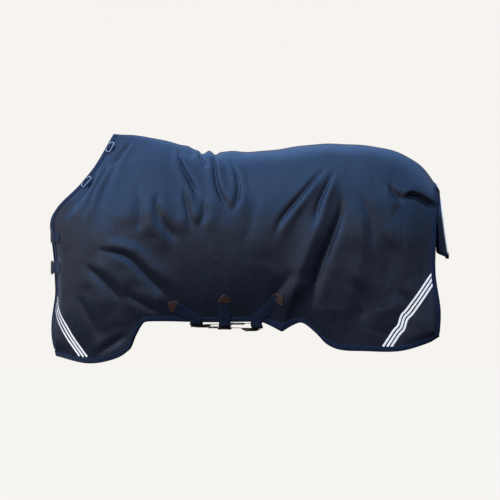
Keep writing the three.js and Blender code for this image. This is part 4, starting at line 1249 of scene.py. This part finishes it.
def leather_patch(name, side, at, heading):
    """A pointed leather patch over the sewn end of a strap."""
    u, v = np.array([at[0]], float), np.array([at[1]], float)
    _, normal, _, _ = cloth_frame(side, u, v)
    back = unit(-heading + normal[0] * (heading @ normal[0]))
    across = np.cross(back, normal[0])
    outline = round_outline(PATCH_OUTLINE)
    base = WEB_SEWN_LIFT + WEB_THICKNESS / 2 + PATCH_GAP
    rings = []
    for size, height in PATCH_RINGS:
        rings.append(on_panel(side, at, across, back, outline * size, base + LEATHER_THICKNESS * height)[0])
    foot = [on_panel(side, at, across, back, outline * size, base)[0] for size in (1.0, 0.25)]
    count = len(outline)
    points = np.concatenate([foot[1], foot[0], *rings])
    faces = []
    for ring in range(len(rings) + 1):
        a = ring * count
        for k in range(count):
            j = (k + 1) % count
            faces.append((a + k, a + j, a + count + j, a + count + k))
    faces.append(tuple(reversed(range(count))))
    faces.append(tuple(range((len(rings) + 1) * count, (len(rings) + 2) * count)))
    piece = crisp(outward(mesh_piece(name, points, faces, finish_named("leather"))), 50)
    line, normals = on_panel(side, at, across, back, np.concatenate([outline, outline[:1]]) * 0.86,
                             base + LEATHER_THICKNESS * 1.04 + 0.3)
    sewn = stitches(f"{name}_stitching", [(line, normals)], finish_named("tan_thread"),
                    spacing=4.2, length=3.0)
    for made in (piece, sewn):
        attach(made, ROOT)
    return piece


class RUG_OT_belly_straps(bpy.types.Operator):
    """Sews the three crossing belly straps and their leather patches"""

    bl_idname = "rug.belly_straps"
    bl_label = "Belly straps"

    def execute(self, context):
        for order, strap in enumerate(BELLY):
            far = BELLY[strap["farthest"]]
            near_hem, off_hem = place_on("near", (strap["hem"], 1)), place_on("off", (far["hem"], 1))
            run = unit((off_hem - near_hem) * (1, 1, 0))
            level = min(near_hem[2], off_hem[2]) - HEM_TURN - order * STRAP_SPACING
            along = np.array((math.copysign(1, np.cross(run, -UP)[0]), 0.0, 0.0))
            near_start = near_hem + run * UNDER_TURN
            off_start = off_hem - run * UNDER_TURN
            near_start[2] = off_start[2] = level
            near = laid_webbing("near", strap["patch"], (strap["hem"], HEM_APPROACH), near_start, run, along)
            off = laid_webbing("off", far["patch"], (far["hem"], HEM_APPROACH), off_start, -run, along)
            fastening(strap["name"], near, off, run, -UP, {"tab": "webbing", "strap": "webbing"})
            for side, laid, at in (("near", near, strap["patch"]), ("off", off, far["patch"])):
                piece = leather_patch(f"{strap['name']}_{side}_leather", side, at,
                                      unit(laid["points"][1] - laid["points"][0]))
                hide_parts(f"{strap['name']}_{side}_patch")
        return {"FINISHED"}


class RUG_OT_chest_straps(bpy.types.Operator):
    """Sews the two chest straps across the gap between the front edges"""

    bl_idname = "rug.chest_straps"
    bl_label = "Chest straps"

    def execute(self, context):
        run = np.array((0.0, 1.0, 0.0))
        for chest in CHEST:
            name, level = chest["name"], chest["level"]
            near_edge, off_edge = place_on("near", (0, level)), place_on("off", (0, level))
            near_start = near_edge + run * CHEST_LEAD
            near_start[0] = off_edge[0] - WEB_LIFT - PLY_GAP * 2
            off_start = near_start + run * (LEAD + BAR_SPAN + LEAD)
            near = laid_webbing("near", (TAB_START, level), (TAB_EDGE, level), near_start, run, UP)
            off = laid_webbing("off", (STRAP_START, level), (STRAP_EDGE, level), off_start, -run, UP)
            strap = "leather" if name == "upper_chest" else "webbing"
            fastening(name, near, off, run, AHEAD, {"tab": "webbing", "strap": strap})
            piece = leather_patch(f"{name}_off_leather", "off", (STRAP_START, level),
                                  unit(off["points"][1] - off["points"][0]))
            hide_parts(f"{name}_off_patch")
        return {"FINISHED"}


# ---------------------------------------------------------------- reflective stripes
STRIPE_BOW = {"front": 8.0, "rear": -11.0}
STRIPE_KINK = {"front": 0.0, "rear": 0.5}
STRIPE_KINKS, STRIPE_KINK_WIDTH = ((0.62, 1), (0.74, -1)), 0.05
STRIPE_OVERRUN = 0.07  # drawn past both ends, then cut where the bindings begin
STRIPE_FOOT = 0.984
STRIPE_SIDE = 0.007
STRIPE_LIFT = 0.95
STRIPE_WIDTH = 9.2
STRIPE_PITCH = 15.5
STRIPE_THICKNESS = 0.8


class RUG_OT_reflective_stripes(bpy.types.Operator):
    """Sews three reflective tapes across each lower corner"""

    bl_idname = "rug.reflective_stripes"
    bl_label = "Reflective stripes"

    def execute(self, context):
        t = np.linspace(-STRIPE_OVERRUN, 1 + STRIPE_OVERRUN, 90)
        for side in SIDES:
            for end, (start, stop) in STRIPES.items():
                u, v = start[0] + (stop[0] - start[0]) * t, start[1] + (stop[1] - start[1]) * t
                u, v = np.clip(u, 0, 1), np.clip(v, 0, 1)
                _, normal, along, down = cloth_frame(side, u, v)
                way = (stop[0] - start[0]) * along + (stop[1] - start[1]) * down
                across = unit(np.cross(normal, way))
                bow = STRIPE_BOW[end] * (1 if side == "near" else -1)
                kink = sum(turn * bump((t - at) / STRIPE_KINK_WIDTH) for at, turn in STRIPE_KINKS)
                sway = bow * (np.sin(math.pi * t) + STRIPE_KINK[end] * kink)
                strips = []
                for row in (-1, 0, 1):
                    shift_u = np.empty_like(u)
                    shift_v = np.empty_like(v)
                    for k in range(len(u)):
                        axes = np.stack([along[k], down[k]], 1)
                        aside = across[k] * (row * STRIPE_PITCH + sway[k])
                        shift_u[k], shift_v[k] = np.linalg.pinv(axes) @ aside
                    own_u, own_v = u + shift_u, v + shift_v
                    on = (own_u > STRIPE_SIDE) & (own_u < 1 - STRIPE_SIDE) & (own_v < STRIPE_FOOT)
                    face, n, _, _ = cloth(side, own_u[on], own_v[on])
                    rings, places = band_rings(face + n * STRIPE_LIFT, np.cross(n, np.gradient(face, axis=0)),
                                               STRIPE_WIDTH, STRIPE_THICKNESS)
                    strips.append((rings, places))
                # The stripes' finish carries a weak painted glow in place of their retro-reflection.
                piece = joined_strips(f"{side}_{end}_stripes", strips, finish_named("reflective"))
                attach(piece, ROOT)
                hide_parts(f"{side}_{end}_stripe_panel")
        return {"FINISHED"}


def joined_strips(name, strips, finish):
    """Several swept strips as one piece."""
    made = [sweep(f"{name}_{k}", rings, finish, places) for k, (rings, places) in enumerate(strips)]
    select_only(made[0])
    for other in made[1:]:
        other.select_set(True)
    bpy.ops.object.join()
    made[0].name = name
    made[0].data.name = name
    return crisp(made[0], 50)


# ---------------------------------------------------------------- neck rings and their loops
RINGS = {"upper": 0.085, "lower": 0.25}


def frame_copy(source, name, finish):
    """A copy of a node of the frame as a merged mesh of its own."""
    piece = bpy.data.objects.new(name, frame["nodes"][source].data.copy())
    bpy.context.scene.collection.objects.link(piece)
    piece.data.materials.clear()
    piece.data.materials.append(finish)
    select_only(piece)
    if piece.data.has_custom_normals:
        bpy.ops.mesh.customdata_custom_splitnormals_clear()
    bpy.ops.object.mode_set(mode="EDIT")
    bpy.ops.mesh.select_all(action="SELECT")
    bpy.ops.mesh.remove_doubles(threshold=0.00002)
    bpy.ops.mesh.dissolve_limited(angle_limit=math.radians(1.5))
    bpy.ops.mesh.normals_make_consistent(inside=False)
    bpy.ops.object.mode_set(mode="OBJECT")
    return piece


def apply(piece, kind, **settings):
    """Adds a modifier with these settings and applies it."""
    select_only(piece)
    modifier = piece.modifiers.new(kind.title(), kind)
    for key, value in settings.items():
        setattr(modifier, key, value)
    bpy.ops.object.modifier_apply(modifier=modifier.name)
    return piece


def stands_for(piece, source):
    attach(piece, frame["nodes"][source]["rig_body"])
    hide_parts(source)
    return piece


class RUG_OT_neck_rings(bpy.types.Operator):
    """Bends the four neck rings and sews the loops that hold them"""

    bl_idname = "rug.neck_rings"
    bl_label = "Neck rings"

    def execute(self, context):
        for side in SIDES:
            for level, v in RINGS.items():
                ring = frame_copy(f"{side}_{level}_neck_ring", f"{side}_{level}_round_wire_ring",
                                  finish_named("steel"))
                apply(ring, "SUBSURF", levels=2, render_levels=2)
                crisp(ring, 80)
                stands_for(ring, f"{side}_{level}_neck_ring")
                self.sew_loop(side, level, v)
        return {"FINISHED"}

    def sew_loop(self, side, level, v):
        point, normal, along, down = (a[0] for a in cloth_frame(side, np.zeros(1), np.array([v])))
        run = unit(down - normal * (down @ normal))
        inward = unit(np.cross(run, normal))
        if inward @ along < 0:
            inward = -inward
        lift = PLY_GAP + BINDING_THICKNESS + LOOP_GAP + LOOP_THICKNESS / 2
        radius = RING_WIRE / 2 + LOOP_GAP + LOOP_THICKNESS / 2
        base = point + inward * RING_INSET + normal * lift
        bar = base + normal * radius
        angles = np.linspace(0, math.pi, EYE_STEPS + 1)[:, None]
        eye = bar - normal * radius * np.cos(angles) - inward * radius * np.sin(angles)
        tail = base + inward * LOOP_REACH
        points = np.concatenate([[tail, (tail + base) / 2], eye,
                                 [eye[-1] + inward * LOOP_RETURN, tail + normal * (LOOP_THICKNESS + 0.3)]])
        piece = band(f"{side}_{level}_ring_webbing", points, np.tile(run, (len(points), 1)), LOOP_WIDTH,
                     LOOP_THICKNESS, finish_named("webbing"))
        stands_for(piece, f"{side}_{level}_ring_loop")


# ---------------------------------------------------------------- strap metal
class RUG_OT_strap_metal(bpy.types.Operator):
    """Casts the slotted plates, T hooks and slides with eased edges"""

    bl_idname = "rug.strap_metal"
    bl_label = "Plates, hooks and slides"

    def execute(self, context):
        for strap in (*BELLY, *CHEST):
            name = strap["name"]
            metal_name = "steel" if name == "middle_belly" else "brass"
            for part in ("slot_plate", "t_hook"):
                self.ease(f"{name}_{part}", f"{name}_{part}_cast", metal_name, "brass_fittings", 0.75)
        for strap in BELLY:
            self.ease(f"{strap['name']}_slide", f"{strap['name']}_slide_cast", "steel", "steel_fittings", 0.6)
        return {"FINISHED"}

    def ease(self, source, name, metal_name, slot, edge):
        piece = frame_copy(source, name, finish_named(metal_name))
        apply(piece, "BEVEL", width=edge * MM, segments=3, limit_method="ANGLE", angle_limit=math.radians(40))
        crisp(piece, 40)
        stands_for(piece, source)


# ---------------------------------------------------------------- tail flap
def flap_hinge():
    """The middle of the flap's top seam, in the drawing, from the frame's flap."""
    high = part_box("tail_flap")[1]
    flap = frame["nodes"]["tail_flap"]
    corners = (flap.matrix_world @ vertex.co for vertex in flap.data.vertices)
    x = max(point.x for point in corners if point.z > high.z - 0.001) * 1000 - SHIFT[0] - FLAP_THICKNESS / 2
    return np.array((x, 0.0, high.z * 1000 - SHIFT[2] + FLAP_TOP))


def flap_half_width(b):
    """Half the flap's width at a share down from its seam."""
    return FLAP_TOP_HALF_WIDTH + (FLAP_HALF_WIDTH - FLAP_TOP_HALF_WIDTH) * smooth_step(0, FLAP_WIDENS_BY, b)


FLAP_FOLD_EASE = 0.05


def flap_points(a, b, lift, hinge):
    """Points of the hanging flap: a runs across from side to side and b from its seam to its foot."""
    drop = FLAP_TOP + b * (FLAP_LENGTH - FLAP_CORNER * np.abs(a) ** 6)
    past = np.abs(a) - FLAP_FOLD
    wrapped = (past + np.sqrt(past * past + FLAP_FOLD_EASE**2) - FLAP_FOLD_EASE) / 2 / (1 - FLAP_FOLD)
    ripple = b * (2.0 * np.sin(a * 7.5 + 0.6) + 1.2 * np.sin(a * 17 + b * 3)) * (1 - a**4)
    return np.stack([hinge[0] + FLAP_SWING_OUT * b**FLAP_CURL - FLAP_WRAP * b * wrapped + ripple + lift,
                     a * flap_half_width(b), hinge[2] - drop], -1)


EDGE_TAPE_CORNER = 0.985  # where the flap's tape turns its corners
EDGE_TAPE_INNER = 12  # how far in the line lies that shows which way is out
YOKE_EDGE = 0.985  # where it is sewn to the rear edge, as a share along the panel
YOKE_REACH = 0.165  # and how far down from the spine
YOKE_LIFT = 2.2  # clear of the binding it lies over
YOKE_RISE = np.array((5.0, 0.0, 6.0))  # how far back and up its curve's middle point is drawn
YOKE_BELOW = np.array((1.1, 0.0, 0.9))  # from its outer face to its inner one


class RUG_OT_tail_flap(bpy.types.Operator):
    """Makes the tail flap, its piped edge and the yoke that joins it to the rug"""

    bl_idname = "rug.tail_flap"
    bl_label = "Tail flap"

    def execute(self, context):
        hinge = flap_hinge()
        flap = self.cut_flap(hinge)
        stands_for(flap, "tail_flap")
        piping = self.pipe_edge(hinge)
        stands_for(piping, "tail_flap_piping")
        tape = self.bind_edge(hinge)
        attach(tape, "tail_flap")
        self.join_yoke(hinge)
        return {"FINISHED"}

    def cut_flap(self, hinge):
        a, b = np.meshgrid(np.linspace(-1, 1, 73), np.linspace(0, 1, 61), indexing="ij")
        edge = np.minimum((1 - np.abs(a)) / 0.06, np.minimum((1 - b) / 0.05, (b + 0.02) / 0.04))
        half = FLAP_THICKNESS / 2 * (0.35 + 0.65 * smooth_step(0, 1, edge))
        faces = [flap_points(a, b, half * way, hinge) for way in (1, -1)]
        return grid_solid("hanging_tail_flap", *faces, finish_named("flap_cloth"))

    def pipe_edge(self, hinge):
        down = np.linspace(1 / 8, 0.93, 40)
        across = np.linspace(-FLAP_FOLD + 0.02, FLAP_FOLD - 0.02, 50)
        a = np.concatenate([np.full_like(down, -FLAP_FOLD), across, np.full_like(down, FLAP_FOLD)])
        b = np.concatenate([down, np.full_like(across, PIPING_FOOT), down[::-1]])
        middle = flap_points(a, b, FLAP_THICKNESS / 2 + PIPING / 2 - 0.4, hinge)
        run = unit(np.gradient(middle, axis=0))
        outside = unit(np.cross(AHEAD, run))
        turns = np.linspace(0, 2 * math.pi, 12, endpoint=False)
        face = np.cross(run, outside)
        rings = np.stack([middle + (outside * math.cos(t) + face * math.sin(t)) * PIPING / 2
                          for t in turns], 1)
        # The piping's finish carries a weak painted glow in place of its retro-reflection.
        return sweep("tail_flap_piped_edge", rings, finish_named("piping"))

    def bind_edge(self, hinge):
        """Tape folded round the flap's free edges."""
        down = np.linspace(0.03, EDGE_TAPE_CORNER, 60)
        across = np.linspace(-EDGE_TAPE_CORNER, EDGE_TAPE_CORNER, 70)
        a = np.concatenate([np.full_like(down, -1.0), across, np.full_like(down, 1.0)])
        b = np.concatenate([down, np.full_like(across, 1.0), down[::-1]])
        line = flap_points(a, b, 0.0, hinge)
        inner = flap_points(a * np.where(np.abs(a) > 0.99, 1 - EDGE_TAPE_INNER / FLAP_HALF_WIDTH, 1),
                            np.where(b > 0.99, 1 - EDGE_TAPE_INNER / FLAP_LENGTH, b), 0.0, hinge)
        out = unit(line - inner)
        run = unit(np.gradient(line, axis=0))
        face = unit(np.cross(run, out))
        rise, width = FLAP_THICKNESS * 0.36, 11.0
        profile = [(-width, rise), (-width * 0.5, rise + 0.5), (0.0, rise), (1.4, rise * 0.55), (1.8, 0.0),
                   (1.4, -rise * 0.55), (0.0, -rise), (-width * 0.5, -rise - 0.5), (-width, -rise)]
        rings = np.stack([line + out * o + face * (f + math.copysign(1.1, f) if f else 0.0)
                          for o, f in profile], 1)
        return crisp(sweep("tail_flap_edge_tape", rings, finish_named("binding")), 60)

    def join_yoke(self, hinge):
        """A short curved panel from the rug's rear edge to the flap's seam."""
        share = np.linspace(-1, 1, 49)
        lift = BINDING_THICKNESS + YOKE_LIFT
        edge = []
        for s in share:
            side = "near" if s < 0 else "off"
            edge.append(cloth(side, [YOKE_EDGE], [abs(s) * YOKE_REACH + 1e-6], lift, False)[0][0])
        edge = np.array(edge)
        seam = flap_points(share, np.full_like(share, 0.015), 0.0, hinge)
        seam[:, 0] += FLAP_THICKNESS / 2 + 0.9
        t = np.linspace(0, 1, 13)[:, None, None]
        middle = (edge + seam) / 2 + YOKE_RISE
        sheet = edge * (1 - t) ** 2 + 2 * middle * t * (1 - t) + seam * t * t
        below = sheet - YOKE_BELOW
        piece = grid_solid("dock_yoke", np.swapaxes(sheet, 0, 1), np.swapaxes(below, 0, 1),
                           finish_named("flap_cloth"))
        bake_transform(piece)


# ---------------------------------------------------------------- withers pad
PAD_VOXEL = 0.004
TUFT_HEIGHT, TUFT_SCALE, TUFT_SINK = 0.0016, 160, 0.001


class RUG_OT_withers_pad(bpy.types.Operator):
    """Stuffs the fleece pad under the withers"""

    bl_idname = "rug.withers_pad"
    bl_label = "Withers pad"

    def execute(self, context):
        piece = frame_copy("withers_pad", "fleece_withers_pad", finish_named("fleece"))
        apply(piece, "REMESH", mode="VOXEL", voxel_size=PAD_VOXEL)
        apply(piece, "SMOOTH", factor=0.5, iterations=6)
        low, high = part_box("withers_pad")
        middle = (low + high) / 2
        reach = (high - low) / 2
        mesh = piece.data
        for vertex in mesh.vertices:
            away = vertex.co - middle
            tuft = TUFT_HEIGHT * noise.noise(vertex.co * TUFT_SCALE) - TUFT_SINK
            vertex.co += vertex.normal * tuft
            if abs(away.z) > reach.z:
                vertex.co.z = middle.z + math.copysign(reach.z, away.z)
        mesh.polygons.foreach_set("use_smooth", [True] * len(mesh.polygons))
        stands_for(piece, "withers_pad")
        return {"FINISHED"}


# ---------------------------------------------------------------- studio
SENSOR = 36.0
AIM_BACK, AIM_DOWN = 0.005, 0.009  # the camera's aim from the middle of the frame's box
STUDIO_RADIUS = 30.0
STUDIO_HEIGHT = 20.0
NEAR_FACE = 0.2  # from the rug's middle to the side that the view is set by
# The air's colour at heights from straight below (0) to straight above (1). Then how it dims from the
# chest to the tail, as the Map Range node's sockets: from, to, and the strength at each.
AIR = [(0.0, (0.010, 0.010, 0.012)), (0.42, (0.02, 0.02, 0.022)), (0.53, (0.26, 0.26, 0.275)),
       (0.67, (0.22, 0.225, 0.25)), (0.71, (0.26, 0.53, 1.12)), (1.0, (0.22, 0.47, 1.0))]
AIR_DIMS = {1: -0.8, 2: 0.8, 3: 1.5, 4: 0.5}
GROUND_DROP = 0.62  # from the hem's lowest point to the ground that the horse stands on


class RUG_OT_studio(bpy.types.Operator):
    """Lays the pale floor and sets the soft light and the camera"""

    bl_idname = "rug.studio"
    bl_label = "Studio"

    def execute(self, context):
        scene = context.scene
        low, high = CAD_BOX
        middle = (low + high) / 2
        self.floor(low, middle)
        self.world(scene)
        self.lights(scene, middle, high)
        self.camera(scene, middle, high.x - low.x)
        scene.view_settings.view_transform = "Standard"
        return {"FINISHED"}

    def floor(self, low, middle):
        """A wide round floor that turns up into a wall, with nothing of it in the rug's reflections."""
        for piece in bpy.context.view_layer.objects:
            piece.select_set(False)
        bpy.ops.mesh.primitive_cylinder_add(vertices=96, radius=STUDIO_RADIUS, depth=STUDIO_HEIGHT,
                                            location=(middle.x, 0, low.z - GROUND_DROP + STUDIO_HEIGHT / 2))
        ground = bpy.context.active_object
        ground.name = "studio_floor"
        bpy.ops.object.mode_set(mode="EDIT")
        bpy.ops.mesh.select_all(action="SELECT")
        bpy.ops.mesh.flip_normals()
        bpy.ops.object.mode_set(mode="OBJECT")
        ground.data.materials.append(finish_named("ground"))
        ground.visible_diffuse = False
        ground.visible_glossy = False
        ground.visible_shadow = False

    def world(self, scene):
        """Cool soft light from above, dim at the sides and below, and dimmer towards the tail."""
        world = bpy.data.worlds.new("studio_air")
        scene.world = world
        world.use_nodes = True
        tree = world.node_tree
        way = node(tree, "ShaderNodeSeparateXYZ", {0: node(tree, "ShaderNodeTexCoord").outputs["Generated"]})
        height = maths(tree, "MULTIPLY", maths(tree, "ADD", way.outputs[2], 1.0), 0.5)
        ramp = node(tree, "ShaderNodeValToRGB", {0: height})
        for k, (place, colour) in enumerate(AIR):
            at = ramp.color_ramp.elements[k] if k < 2 else ramp.color_ramp.elements.new(place)
            at.position = place
            at.color = (*colour, 1)
        tree.links.new(ramp.outputs[0], tree.nodes["Background"].inputs[0])
        strength = node(tree, "ShaderNodeMapRange", {0: way.outputs[0], **AIR_DIMS})
        tree.links.new(strength.outputs[0], tree.nodes["Background"].inputs[1])

    def lights(self, scene, middle, high):
        """Two large soft lamps: cool above, and neutral in front towards the chest."""
        sizes = scene.rug_studio
        self.panel("overhead_light", (middle.x - 0.2, -0.9, high.z + 2.3), middle, (3.4, 2.0), sizes.overhead,
                   (0.56, 0.76, 1.0))
        self.panel("front_light", (middle.x - 2.6, -3.4, middle.z + 1.0), middle, (1.6, 1.6), sizes.front,
                   (1.0, 0.97, 0.94))

    def panel(self, name, place, aim, size, power, colour):
        """A rectangular lamp turned towards a point."""
        light = bpy.data.lights.new(name, "AREA")
        light.shape = "RECTANGLE"
        light.size, light.size_y = size
        light.energy = power
        light.color = colour
        lamp = bpy.data.objects.new(name, light)
        lamp.location = place
        lamp.rotation_euler = (Vector(aim) - Vector(place)).to_track_quat("-Z", "Y").to_euler()
        lamp.visible_glossy = False  # a lamp's own highlight would make the cloth look like leather
        bpy.context.scene.collection.objects.link(lamp)

    def camera(self, scene, middle, length):
        sizes = scene.rug_studio
        data = bpy.data.cameras.new("square_on")
        data.sensor_width = SENSOR
        data.lens = SENSOR * (sizes.distance - NEAR_FACE) / (length / sizes.fill)
        data.clip_end = 100.0
        camera = bpy.data.objects.new("square_on", data)
        camera.location = (middle.x + AIM_BACK, -sizes.distance, middle.z - AIM_DOWN)
        camera.rotation_euler = (math.pi / 2, 0, 0)
        scene.collection.objects.link(camera)
        scene.camera = camera


# ---------------------------------------------------------------- the add-on
OPERATORS = (
    RUG_OT_studio, RUG_OT_outer_cloth, RUG_OT_padding, RUG_OT_bindings, RUG_OT_spine_seam,
    RUG_OT_belly_straps, RUG_OT_chest_straps, RUG_OT_reflective_stripes, RUG_OT_neck_rings,
    RUG_OT_strap_metal, RUG_OT_tail_flap, RUG_OT_withers_pad,
)


class RUG_PT_maker(bpy.types.Panel):
    """Lists the rug's settings and its steps"""

    bl_idname = "RUG_PT_maker"
    bl_label = "Turnout Rug"
    bl_space_type = "VIEW_3D"
    bl_region_type = "UI"
    bl_category = "Turnout Rug"

    def draw(self, context):
        for settings in (context.scene.rug_cloth, context.scene.rug_studio):
            for name in settings.bl_rna.properties.keys():
                if name not in ("rna_type", "name"):
                    self.layout.prop(settings, name)
        for operator in OPERATORS:
            self.layout.operator(operator.bl_idname)


CLASSES = (RugClothSettings, RugStudioSettings, *OPERATORS, RUG_PT_maker)


def register():
    for cls in CLASSES:
        bpy.utils.register_class(cls)
    bpy.types.Scene.rug_cloth = bpy.props.PointerProperty(type=RugClothSettings)
    bpy.types.Scene.rug_studio = bpy.props.PointerProperty(type=RugStudioSettings)


def unregister():
    del bpy.types.Scene.rug_studio
    del bpy.types.Scene.rug_cloth
    for cls in reversed(CLASSES):
        bpy.utils.unregister_class(cls)


def main():
    register()
    for operator in OPERATORS:
        group, name = operator.bl_idname.split(".")
        getattr(getattr(bpy.ops, group), name)()


if __name__ == "__main__":
    main()
